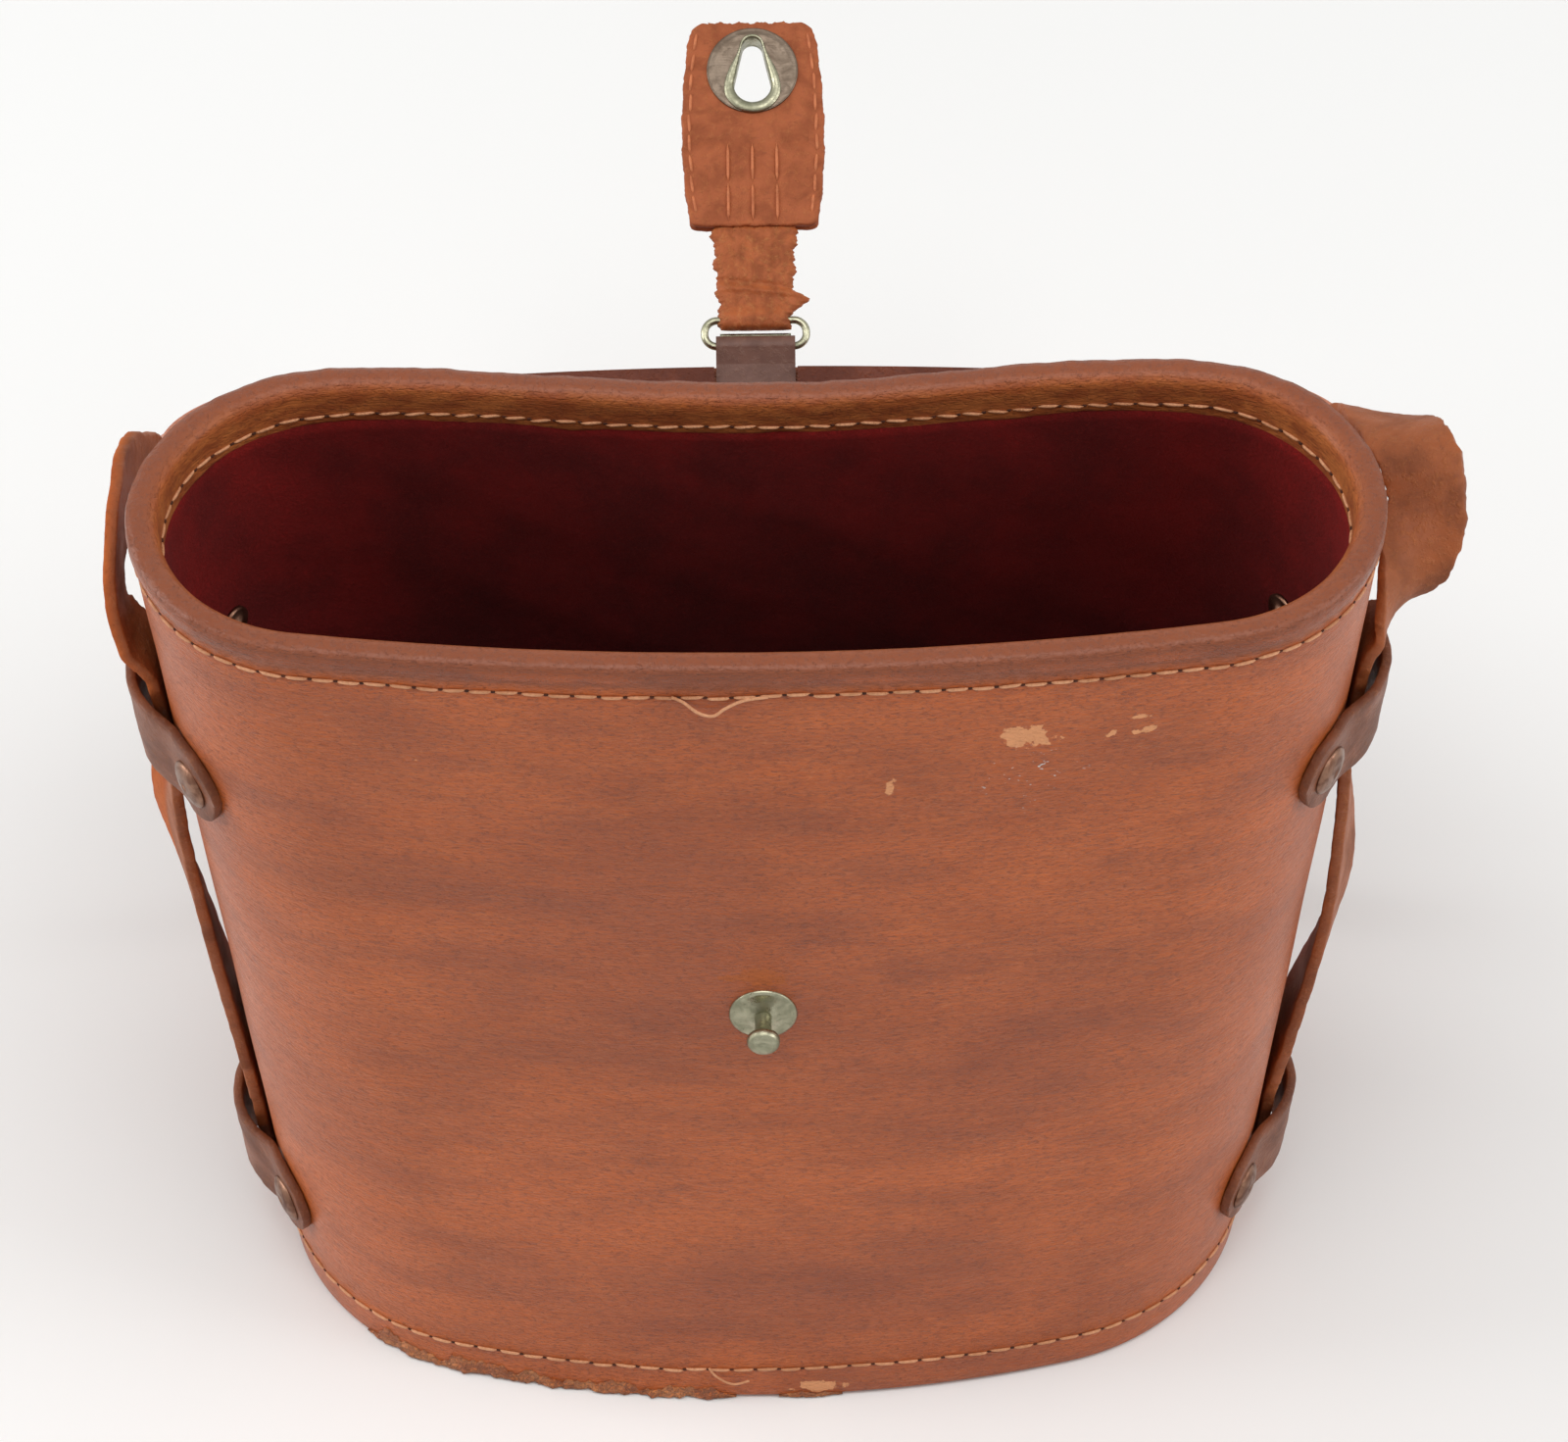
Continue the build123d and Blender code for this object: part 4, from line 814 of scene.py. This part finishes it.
class CASE_OT_wear(bpy.types.Operator):
    """Torn sole edge, chip, and loose ends of thread"""
    bl_idname = "case.wear"
    bl_label = "Tears and loose thread"

    def execute(self, context):
        fibre = suede()
        for name, x0, x1, low, high, proud, seed in (("torn_edge_left", -76, -42, 0.2, 4.0, 0.8, 31),
                                                     ("torn_edge_middle", -50, -6, 0.1, 2.8, 1.0, 35),
                                                     ("chip_front", 2, 14, 0.1, 1.6, 0.5, 39)):
            s0, s1 = share_at(x0, 2.0), share_at(x1, 2.0)
            s = np.linspace(s0, s1, 150)[None]
            run = s * GIRTH
            v = np.linspace(0, 1, 9)[:, None]
            ends = np.clip(np.minimum(run - run.min(), run.max() - run) / 5, 0, 1)
            top = low + (high - low) * ends * (0.72 + 0.5 * ripple(run, 17, seed, 5))
            z = low + (np.maximum(top, low + 0.15) - low) * v
            curl = proud * ends * (0.55 + 0.5 * ripple(run, 12, seed + 1, 4)) * (1 - v) ** 0.7
            rough = 0.14 * ripple(run + v * 7, 3.1, seed + 2, 3)
            upper = wall_point(s, z, 0.12 + np.clip(curl + rough, 0.02, 2.0))[0]
            points, faces = slab(upper, wall_point(s, z, -0.5)[0])
            make_piece(name, points, faces, fibre, "case", "case_leather")
        thread = linen()
        for name, points, thick in (
                ("loose_thread_front",
                 [(-14.5, 183.4, 0.1), (-12.5, 182.6, 0.5), (-10, 180.8, 1.1), (-7.5, 180.3, 1.3),
                  (-5.5, 181.6, 0.9), (-2.5, 182.9, 0.4), (1.5, 183.4, 0.15)], 0.55),
                ("loose_thread_low",
                 [(-11, 8.4, 0.1), (-9.5, 6.6, 0.7), (-6.5, 5.2, 1.2), (-3.5, 5.8, 0.9)], 0.45)):
            knots = np.array(points)
            base = np.concatenate([wall_point(share_at(x, z), z, out)[0][None] for x, z, out in knots])
            line = catmull(base, 70)
            across = np.broadcast_to([0.3, -1.0, 0.4], line.shape)
            rings = ribbon(line, across, thick / 2, thick, edge=thick / 2, steps=1)
            make_piece(name, *tube(rings), thread, "case")
        return {"FINISHED"}


def keeper_line(side, low, top, steps=90):
    """Middle line of a keeper round the end of the case: the wall's end arc, and over the strap the bulge's
    arc, whichever is further out, eased into each other. Also the direction up the wall at each point."""
    def at(z):
        size = BOTTOM + (TOP - BOTTOM) * z / HEIGHT
        a, r = size[0], size[2]
        reach = math.asin(KEEPER_END / r)
        theta = np.linspace(-reach, reach, steps)
        offset = r - (KEEPER_BULGE - KEEPER_ROOM)
        over = np.maximum(KEEPER_BULGE ** 2 - (offset * np.sin(theta)) ** 2, 0)
        bulge = offset * np.cos(theta) + np.sqrt(over)
        soft = 0.8
        rho = soft * np.logaddexp(r / soft, bulge / soft) + KEEPER_THICK / 2 + 0.06
        return np.stack([side * (a - r + rho * np.cos(theta)), rho * np.sin(theta), np.full(steps, z)], -1)
    middle = at((low + top) / 2)
    return middle, unit(at(top) - at(low))


class CASE_OT_keepers(bpy.types.Operator):
    """Four leather keepers with their rivets"""
    bl_idname = "case.keepers"
    bl_label = "Keepers and rivets"

    def execute(self, context):
        dark = worn_leather("Keeper_leather_greased", "#7E4528", "#4E2A1C", "#A8693F", (12, 12, 8),
                            (0.38, 0.55), 0.3)
        metal = plating("Rivet_steel_browned", "#8E6B58", "#5E3B2E", (0.30, 0.5), 0.8)
        for level, (low, top) in KEEPERS.items():
            for side, side_name in ((-1, "left"), (1, "right")):
                seed = int(low) + side
                line, across = keeper_line(side, low, top)
                run = np.concatenate([[0], np.cumsum(np.linalg.norm(np.diff(line, axis=0), axis=1))])
                width = (top - low) / 2
                near = np.minimum(run, run[-1] - run)
                half = width * np.sqrt(np.clip(1 - np.clip(1 - near / width, 0, 1) ** 2, 0.004, 1))
                wear = 0.18 * ripple(run, 11, seed, 4)
                rings = ribbon(line, across, (half + wear, half - wear * 0.7), KEEPER_THICK - 0.1, 0.55, 10,
                               lambda u: 0.10 * ripple(run[:, None] + u * 1.3, 13, seed + 3, 3))
                keeper = make_piece("keeper_band_%s_%s" % (level, side_name), *tube(rings), dark, "case",
                                    "case_leather")
                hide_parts("keeper_%s_%s" % (level, side_name))
                z = (low + top) / 2
                size = BOTTOM + (TOP - BOTTOM) * z / HEIGHT
                points, faces, count = [], [], 0
                for facing in (-1, 1):         # front, back
                    angle = math.asin(KEEPER_RIVET_Y / size[2])
                    lean = (TOP[0] - BOTTOM[0]) / HEIGHT * math.cos(angle) \
                        + (TOP[2] - BOTTOM[2]) / HEIGHT * (1 - math.cos(angle))
                    n = unit(np.array([side * math.cos(angle), facing * math.sin(angle), -lean]))
                    p = np.array([side * (size[0] - size[2] + size[2] * math.cos(angle)),
                                  facing * size[2] * math.sin(angle), z])
                    shape = [(0, 0), (1.2, 0), (1.2, KEEPER_THICK - 0.4), (4.5, KEEPER_THICK - 0.35),
                             (4.62, KEEPER_THICK + 0.1), (4.35, KEEPER_THICK + 0.45),
                             (3.6, KEEPER_THICK + 0.85), (2.5, KEEPER_THICK + 1.15),
                             (1.2, KEEPER_THICK + 1.28), (0, KEEPER_THICK + 1.3)]
                    inner = [(0, -WALL - 0.7), (2.9, -WALL - 0.7), (3.35, -WALL - 0.45),
                             (3.4, -WALL + 0.15), (0, -WALL + 0.15)]
                    for outline in (shape, inner):
                        v, f = lathe(outline, p, n, 40)
                        points.append(v)
                        faces.append([g + count for g in f])
                        count += len(v)
                quads = np.vstack([f[0] for f in faces])
                fans = np.vstack([f[1] for f in faces])
                rivets = make_piece("rivet_pair_%s_%s" % (level, side_name), np.vstack(points), [quads, fans],
                                    metal, "case", "rivet_metal")
                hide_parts("keeper_rivets_%s_%s" % (level, side_name))
        return {"FINISHED"}


class CASE_OT_strap(bpy.types.Operator):
    """Carrying strap, one length through all four keepers"""
    bl_idname = "case.strap"
    bl_label = "Carrying strap"

    def execute(self, context):
        fray = context.scene.case_sizes.fray / MM
        chain = STRAP_RIGHT + [(0, 106.5, LOW, 0, 1, 0)] \
            + [(-x, y, z, -wx, wy, wz) for x, y, z, wx, wy, wz in STRAP_LEFT[::-1]]
        path = catmull(chain, 760)
        centre, across = path[:, :3], unit(path[:, 3:])
        run = np.concatenate([[0], np.cumsum(np.linalg.norm(np.diff(centre, axis=0), axis=1))])
        ends = np.clip(np.minimum(run, run[-1] - run) / 6, 0, 1)
        taper = np.sqrt(np.clip(1 - (1 - ends) ** 2, 0.01, 1))
        half = STRAP_WIDTH / 2
        left = (half + fray * (ripple(run, 9, 41, 5) - 0.5) * 0.8) * taper
        right = (half + fray * (ripple(run, 9, 47, 5) - 0.5) * 0.8) * taper
        rings = ribbon(centre, across, (left, right), STRAP_THICK - 0.2, 0.6, 12,
                       lambda u: 0.09 * ripple(run[:, None] + u * 2, 8, 43, 4))
        # the flesh side faces out where the strap is twisted beside the left end of the rim
        turned = (centre[:, 0] < -100) & (centre[:, 2] > 100)
        flesh = np.clip(-(rings - centre[:, None])[..., 0] / 0.6 - 0.3, 0, 1) * turned[:, None]
        marks = {"flesh": np.concatenate([flesh.ravel(), [0, 0]])}
        dry = worn_leather("Strap_leather_dry", context.scene.case_colours.strap, "#6A3820", "#BE7440",
                           (10, 10, 10), (0.5, 0.7), 0.4, 0.14)
        strap = make_piece("shoulder_strap", *tube(rings), dry, "case", "strap_leather", marks)
        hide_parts("carry_strap")
        return {"FINISHED"}


class CASE_OT_stud(bpy.types.Operator):
    """Stud that the keyhole drops over"""
    bl_idname = "case.stud"
    bl_label = "Stud"

    def execute(self, context):
        metal = plating("Nickel_plated_brass_dulled", context.scene.case_colours.brass, "#6F705A")
        share = share_at(0.0, STUD_Z)
        p = wall_point(share, STUD_Z)[0]
        n = np.array([0, -math.cos(SLOPE), math.sin(SLOPE)])
        base = [(0, -0.3), (5.9, -0.3), (6.0, 0.1), (5.8, 0.4), (5.2, 0.55), (4.3, 0.5), (3.4, 0.62),
                (2.6, 0.95), (1.9, 1.1), (1.6, 1.1), (0, 1.1)]
        post = [(0, 0.4), (1.55, 0.4), (1.5, 1.2), (1.45, 3.4), (1.6, 5.3), (1.9, 5.75), (2.6, 5.8),
                (2.88, 6.1), (2.9, 6.7), (2.7, 7.3), (2.2, 7.75), (1.4, 7.95), (0, 8.0)]
        for name, shape, node in (("stud_washer", base, "stud_base"), ("stud_shank", post, "stud_post")):
            piece = make_piece(name, *lathe(shape, p, n, 56), metal, "case", "nickelled_brass")
            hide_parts(node)
        dress(["stud_burr"], metal)
        return {"FINISHED"}


class CASE_OT_hinge(bpy.types.Operator):
    """Leather hinge strip, sewn to the back of the wall and to the lid"""
    bl_idname = "case.hinge"
    bl_label = "Leather hinge"

    def execute(self, context):
        x = np.linspace(-HINGE_HALF, HINGE_HALF, 73)
        table = np.linspace(-0.2, 0.2, 3001)
        shares = np.interp(x, wall_point(table % 1.0, HINGE_SEAM)[0][:, 0], table)
        stand = 0.95                           # of the strip's middle over what it is sewn to

        def back(z):
            return wall_point(shares % 1.0, z)[0][:, 1] + stand
        middle = float(back(HINGE_SEAM).min())
        edge = swing(np.array([[0, 43.2, LID_TOP]]))[0]
        on = swing(np.array([[0, 31.2, LID_TOP]]))[0]
        along = unit(on - edge)
        raised = np.array([0, along[2], -along[1]]) * stand
        low, top = back(HINGE_FOOT), back(HINGE_SEAM)
        # (y, z) of the strip: up the wall, out and down in a loop, over the lid's edge and on to its top
        route = [(low, HINGE_FOOT), ((low + top) / 2, (HINGE_FOOT + HINGE_SEAM) / 2), (top, HINGE_SEAM),
                 (top + 0.9, 173.2), (top + 3.4, 173.7), (middle + 8.2, 170.5), (middle + 11, 165.0)]
        route += [tuple((p + raised)[1:]) for p in (edge, (edge + on) / 2, on)]
        stations = np.stack([np.stack([np.zeros_like(x) + v for v in point], -1) for point in route])
        flat = catmull(stations.reshape(len(stations), -1), 80).reshape(80, len(x), 2)
        line = np.concatenate([np.broadcast_to(x[None, :, None], (80, len(x), 1)), flat], -1)
        across = unit(np.cross(np.gradient(line, axis=0), np.gradient(line, axis=1)))
        rim = np.minimum(1, (HINGE_HALF - np.abs(x)[None]) / 1.2 + 0.35)
        v = np.arange(80)[:, None]
        rim = np.minimum(rim, np.minimum(v, 79 - v) / 2 + 0.4)
        thick = 0.85 * np.clip(rim, 0, 1)
        loose = np.clip((v - 14) / 8, 0, 1) * np.clip((60 - v) / 8, 0, 1)
        crease = 0.16 * ripple(v * 0.9 + ripple(x, 30, 5, 2)[None] * 2, 5.5, 61, 3) * loose
        points, faces = slab(line + across * (thick + crease)[..., None],
                             line - across * (thick - crease)[..., None])
        flexed = worn_leather("Hinge_leather_flexed", "#8E4C32", "#57301F", "#B77551", (12, 8, 8),
                              (0.45, 0.62))
        hinge = make_piece("hinge_strip", points, faces, flexed, slot="case_leather")
        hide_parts("hinge_leather")
        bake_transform(hinge)
        thread = linen()
        for name, row, body in (("stitches_hinge_case", 4, "case"), ("stitches_hinge_case_low", 12, "case"),
                                ("stitches_hinge_lid", 72, "lid")):
            up = across[row]
            outward = np.sign(np.sum(up[:, 1])) if body == "case" else -np.sign(np.sum(up[:, 1]))
            keep = np.abs(x) < HINGE_HALF - 2
            seam = line[row] + up * outward * 0.9
            sew(name, seam[keep], (up * outward)[keep], False, thread, body, seed=row)
        return {"FINISHED"}


class CASE_OT_latch(bpy.types.Operator):
    """Latch: strap over the skirt's edge, wire ring, and the gathered stretch piece"""
    bl_idname = "case.latch"
    bl_label = "Latch strap, ring and stretch piece"

    def execute(self, context):
        metal = plating("Nickel_plated_brass_dulled", context.scene.case_colours.brass, "#6F705A")
        # grey-brown: the leather's own brown with a painted reflection of the pale surroundings mixed into
        # its colour
        grey = worn_leather("Latch_leather_painted_reflection", "#6E4C40", "#53362D", "#8A6A58", (6, 6, 6),
                            (0.42, 0.55), 0.0, 0.06)
        dress(["latch_strap"], grey)
        dress(["latch_rivets"], metal)
        # ring: a stadium-cornered loop of wire about both bars
        phi = np.linspace(0, 2 * np.pi, 160, endpoint=False)
        cx = np.sign(np.cos(phi)) * (RING_HALF - RING_CORNER)
        ct = np.sign(np.sin(phi)) * ((BAR_FAR - BAR_NEAR) / 2 - RING_CORNER)
        x = cx + RING_CORNER * np.cos(phi)
        t = (BAR_NEAR + BAR_FAR) / 2 + ct + RING_CORNER * np.sin(phi)
        loop = np.stack([x, t], -1)
        out = unit(np.stack([np.cos(phi), np.sin(phi)], -1))
        theta = np.linspace(0, 2 * np.pi, 16, endpoint=False)
        px = loop[:, None, 0] + out[:, None, 0] * np.cos(theta) * WIRE
        pt = loop[:, None, 1] + out[:, None, 1] * np.cos(theta) * WIRE
        pn = np.broadcast_to(np.sin(theta) * WIRE, px.shape)
        ring = make_piece("wire_ring", latch_point(px, pt, pn, "ring").reshape(-1, 3),
                          [grid(*px.shape, wrap_rows=True, wrap_columns=True)],
                          metal, "ring", "nickelled_brass")
        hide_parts("latch_ring")
        # bar along the fold of the leather
        bar_x, bar = np.linspace(-6.9, 6.9, 12)[:, None], 0.85
        bar_t, bar_n = BAR_NEAR + 1.75 + bar * np.cos(theta)[None], 0.4 + bar * np.sin(theta)[None]
        make_piece("latch_fold_bar", *tube(latch_point(bar_x, bar_t, bar_n, "leaf")), metal,
                   "lid", "nickelled_brass")
        # stretch piece: a doubled strip round the far bar, gathered, with a fold and a torn flap by the bar
        down, over = np.meshgrid(np.linspace(BAR_FAR - 2.0, 36.0, 190), np.linspace(-1, 1, 41), indexing="ij")
        width = 7.0 + 1.3 * np.clip((down - BAR_FAR) / (29 - BAR_FAR), 0, 1)
        flap = 3.0 * np.exp(-((down - 13.5) / 1.6) ** 2)
        right = width + 0.55 * ripple(down, 6, 71, 5) + flap
        left = width + 0.6 * ripple(down, 6, 73, 5)
        side = np.where(over > 0, right, left)
        bar = np.exp(-((down - BAR_FAR) / 1.9) ** 2)
        end = np.clip((down - (BAR_FAR - 2.0)) / 0.7, 0, 1)
        close = np.sqrt(np.clip(1 - np.abs(over) ** 6, 0.02, 1))
        hidden = np.clip((down - 28.0) / 1.5, 0, 1)
        puckers = np.abs(ripple(over * 7 + 0.5 * ripple(down, 6, 75, 2), 4.2, 77, 2))
        gather = 0.42 * puckers * np.clip((down - 16) / 3, 0, 1) \
            + 0.5 * np.exp(-((down - 15.2 + 0.9 * over) / 0.7) ** 2) \
            - 0.35 * np.exp(-((down - 16.8 + 0.9 * over) / 0.6) ** 2)
        seam = 0.28 * (np.exp(-(np.abs(over) / 0.05) ** 2) + np.exp(-((np.abs(over) - 0.5) / 0.05) ** 2))
        thick = (1.15 + gather + 0.85 * bar - seam) * (1 - hidden) + 0.42 * hidden
        thick = thick * close * np.sqrt(end * (2 - end)).clip(0.15, 1)
        sheet = (latch_point(side * over, down, thick), latch_point(side * over, down, -thick))
        points, faces = slab(*sheet)
        gathered = worn_leather("Stretch_leather_gathered", "#AC5A2B", "#74391C", "#D29258", (4, 4, 4),
                                (0.55, 0.75), 0.25, 0.15)
        stretch = make_piece("stretch_strip", points, faces, gathered, slot="tab_leather")
        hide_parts("stretch_strap")
        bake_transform(stretch)
        return {"FINISHED"}


def tab_half_width(t):
    """The tab's half width: an arc through its start, middle and end."""
    middle = (TAB_START + TAB_END) / 2 - 2
    q = np.where(t < middle, (t - TAB_START) / (middle - TAB_START), (TAB_END - t) / (TAB_END - middle))
    end = np.where(t < middle, 12.4, 12.0)
    return end + (14.0 - end) * (1 - (1 - q) ** 2)


def teardrop(grow):
    """Keyhole's outline: a wide circle, a narrow one, and the two straight sides that touch both, as points
    spaced evenly along it."""
    wide, narrow, a, b = 3.7 + grow, 2.0 + grow, 58.2, 66.0
    tilt = math.asin((wide - narrow) / (b - a))
    low = np.linspace(-np.pi / 2 - (np.pi / 2 + tilt), -np.pi / 2 + (np.pi / 2 + tilt), 80)
    high = np.linspace(np.pi / 2 - (np.pi / 2 - tilt), np.pi / 2 + (np.pi / 2 - tilt), 60)
    x = np.concatenate([wide * np.cos(low), narrow * np.cos(high)])
    t = np.concatenate([a + wide * np.sin(low), b + narrow * np.sin(high)])
    corners = np.stack([x, t], -1)
    closed = np.vstack([corners, corners[:1]])
    run = np.concatenate([[0], np.cumsum(np.linalg.norm(np.diff(closed, axis=0), axis=1))])
    at = np.linspace(0, run[-1], 600, endpoint=False)
    return np.stack([np.interp(at, run, closed[:, k]) for k in range(2)], -1)


def polar(outline, phi):
    """Distance of a closed outline from the keyhole's middle, at each angle."""
    x, t = outline[:, 0], outline[:, 1] - KEYHOLE_MIDDLE
    angle = np.arctan2(t, x)
    order = np.argsort(angle)
    return np.interp(phi, angle[order], np.hypot(x, t)[order], period=2 * np.pi)


def pierced_plate(outline, hole, low, high, edge, steps=26):
    """Flat piece with a hole: rings that run from the hole's edge to the outline on the upper face, round the
    outer edge by a quarter circle each way, and back on the lower face."""
    phi = np.linspace(-np.pi, np.pi, 420, endpoint=False)
    inner, outer = polar(hole, phi), polar(outline, phi)
    share = np.linspace(0, 1, steps) ** 0.9
    edge = min(edge, (high - low) / 2 * 0.98)
    turn = np.linspace(0, np.pi / 2, 5)
    rho = np.concatenate([share, np.ones(8), share[::-1]])
    inset = np.concatenate([np.full(steps, edge), edge * (1 - np.sin(turn[1:])),
                            edge * (1 - np.sin(turn[:-1][::-1])), np.full(steps, edge)])
    height = np.concatenate([np.full(steps, high), high - edge * (1 - np.cos(turn[1:])),
                             low + edge * (1 - np.cos(turn[:-1][::-1])), np.full(steps, low)])
    radius = inner[None] + (outer - inner)[None] * rho[:, None] - inset[:, None] * rho[:, None]
    x, t = radius * np.cos(phi), KEYHOLE_MIDDLE + radius * np.sin(phi)
    return x, t, np.broadcast_to(height[:, None], x.shape)


class CASE_OT_tab(bpy.types.Operator):
    """Keyhole tab: two leathers about a core, sewn, with the pressed plate and its rolled eyelet"""
    bl_idname = "case.tab"
    bl_label = "Keyhole tab"

    def execute(self, context):
        metal = plating("Nickel_plated_brass_dulled", context.scene.case_colours.brass, "#6F705A")
        plate = plating("Eyelet_plate_tarnished", "#75675A", "#584A3E", (0.36, 0.52), 0.6)
        dull = worn_leather("Tab_leather_rubbed", "#A4552C", "#7E3E20", "#C47A48", (5, 5, 5),
                            (0.6, 0.75), 0.4, 0.12)
        t = np.linspace(TAB_START, TAB_END, 240)
        half = tab_half_width(t)
        for start, radius in ((TAB_START, 1.6), (TAB_END, 3.2)):
            near = np.clip(np.abs(t - start) / radius, 0, 1)
            half = half - radius * (1 - np.sqrt(1 - (1 - near) ** 2))
        half = half + 0.22 * ripple(t, 7, 81, 4)
        x_end = np.linspace(-1, 1, 60)
        top = np.stack([x_end[::-1] * half[-1], TAB_END + 0.35 * ripple(x_end * 12, 5, 83, 4) - 0.2], -1)
        low = np.stack([x_end * half[0], TAB_START + 0.12 * ripple(x_end * 12, 6, 85, 3)], -1)
        outline = np.concatenate([np.stack([half, t], -1), top, np.stack([-half, t], -1)[::-1], low])
        hole = teardrop(0.42)
        for name, node, n0, n1, shrink in (("tab_face", "tab_front_leather", 0.5, 1.7, 0.0),
                                           ("tab_reverse", "tab_back_leather", -1.7, -0.5, 0.0),
                                           ("tab_filling", "tab_core", -0.5, 0.5, 0.35)):
            centre = np.array([0, 50.0])
            shape = outline + unit(centre - outline) * shrink
            x, tt, n = pierced_plate(shape, hole, n0, n1, 0.5 if shrink == 0 else 0.1, 34)
            outer_side = 1 if n0 > 0 else -1
            face = (n * outer_side > 1.5) if shrink == 0 else np.zeros_like(n, bool)
            dip = -0.28 * np.exp(-((tt - TAB_SEAM) / 0.55) ** 2) * (np.abs(x) < 11)
            for row in TAB_ROWS:
                dip = dip - 0.22 * np.exp(-((x - row) / 0.5) ** 2) * (tt < TAB_SEAM)
            for crease in (-9.0, -2.6, 2.2, 8.2):
                dip = dip - 0.16 * np.exp(-((x - crease - 0.3 * np.sin(tt)) / 0.35) ** 2) * (tt < 45)
            n = n + np.where(face, dip * outer_side, 0)
            piece = make_piece(name, latch_point(x, tt, n).reshape(-1, 3),
                               [grid(*x.shape, wrap_rows=True, wrap_columns=True)],
                               dull, "tab", "tab_leather")
            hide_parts(node)
        phi = np.linspace(-np.pi, np.pi, 300, endpoint=False)
        disc = np.stack([PLATE_RADIUS * np.cos(phi), PLATE_MIDDLE + PLATE_RADIUS * np.sin(phi)], -1)
        for name, node, n0, n1 in (("keyhole_face_plate", "keyhole_plate_front", 1.7, 2.1),
                                   ("keyhole_back_plate", "keyhole_plate_back", -2.1, -1.7)):
            x, tt, n = pierced_plate(disc, hole, n0, n1, 0.18, 16)
            far = np.hypot(x, tt - PLATE_MIDDLE)
            n = n + np.sign(n0) * 0.10 * np.exp(-((far - 7.6) / 0.5) ** 2)
            piece = make_piece(name, latch_point(x, tt, n).reshape(-1, 3),
                               [grid(*x.shape, wrap_rows=True, wrap_columns=True)],
                               plate, "tab", "nickelled_brass")
            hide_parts(node)
        # eyelet: a bright tube through the hole, rolled over both plates
        phi = np.linspace(-np.pi, np.pi, 220, endpoint=False)
        inner = polar(teardrop(0.0), phi)
        roll = np.array([(0.0, -1.9), (0.0, 1.9), (0.25, 2.35), (0.7, 2.55), (1.1, 2.4), (1.25, 2.15),
                         (0.45, 2.05), (0.42, -2.05), (1.35, -2.15), (1.3, -2.45), (0.75, -2.65),
                         (0.25, -2.4)])
        spread = 1 + 0.75 * np.clip(-np.sin(phi) + 0.35, -0.6, 1)[None]
        radius = inner[None] + roll[:, :1] * spread
        x, tt = radius * np.cos(phi), KEYHOLE_MIDDLE + radius * np.sin(phi)
        n = np.broadcast_to(roll[:, 1:], x.shape)
        make_piece("keyhole_eyelet", latch_point(x, tt, n).reshape(-1, 3),
                   [grid(*x.shape, wrap_rows=True, wrap_columns=True)], metal, "tab", "nickelled_brass")
        toned = worn_leather("Linen_thread_grimed", "#C9764A", "#9A5230", "#DE9A6C", 3,
                             cracks=0.0, depth=0.08)
        for side, sign in (("face", 1), ("reverse", -1)):
            rows = [(np.full(60, x), np.linspace(29.6, 45.8, 60)) for x in TAB_ROWS]
            edge_t = np.linspace(31, 69.5, 160)
            rows += [(s * (tab_half_width(edge_t) - 1.5), edge_t) for s in (-1, 1)]
            for k, (x, tt) in enumerate(rows):
                level = 1.62 * sign
                line = latch_point(x, tt, level)
                up = latch_point(x, tt, level + sign) - line
                name = "stitches_tab_%s_%d" % (side, k + 1)
                if k >= len(TAB_ROWS):         # along the edges; the rows below are two long stitches each
                    sew(name, line, up, False, toned, "tab", 0.06, 90 + k, False)
                    continue
                middle, along = (line[30:31] + line[29:30]) / 2, unit(line[-1:] - line[:1])
                at = np.concatenate([middle + along * d for d in (-4.1, 4.1)])
                points, faces = stitch_points(at, along.repeat(2, 0), unit(up[:1]).repeat(2, 0), 8.0, 0.62)
                make_piece(name, points, faces, toned, "tab")
        return {"FINISHED"}


OPERATORS = (CASE_OT_stage, CASE_OT_body, CASE_OT_seams, CASE_OT_wear, CASE_OT_keepers, CASE_OT_strap,
             CASE_OT_stud, CASE_OT_hinge, CASE_OT_latch, CASE_OT_tab)


class CASE_PT_build(bpy.types.Panel):
    """Lists the steps that build the case"""
    bl_idname = "CASE_PT_build"
    bl_label = "Binocular case"
    bl_space_type = "VIEW_3D"
    bl_region_type = "UI"
    bl_category = "Case"

    def draw(self, context):
        for operator in OPERATORS:
            self.layout.operator(operator.bl_idname)
        for group in (context.scene.case_sizes, context.scene.case_colours):
            box = self.layout.box()
            for key in group.__annotations__:
                box.prop(group, key)


CLASSES = (CaseSizes, CaseColours, *OPERATORS, CASE_PT_build)


def register():
    for item in CLASSES:
        bpy.utils.register_class(item)
    bpy.types.Scene.case_sizes = PointerProperty(type=CaseSizes)
    bpy.types.Scene.case_colours = PointerProperty(type=CaseColours)


def unregister():
    del bpy.types.Scene.case_sizes, bpy.types.Scene.case_colours
    for item in reversed(CLASSES):
        bpy.utils.unregister_class(item)


def main():
    register()
    for operator in OPERATORS:
        group, name = operator.bl_idname.split(".")
        if getattr(getattr(bpy.ops, group), name)() != {"FINISHED"}:
            raise RuntimeError(operator.bl_idname + " did not finish")


if __name__ == "__main__":
    main()
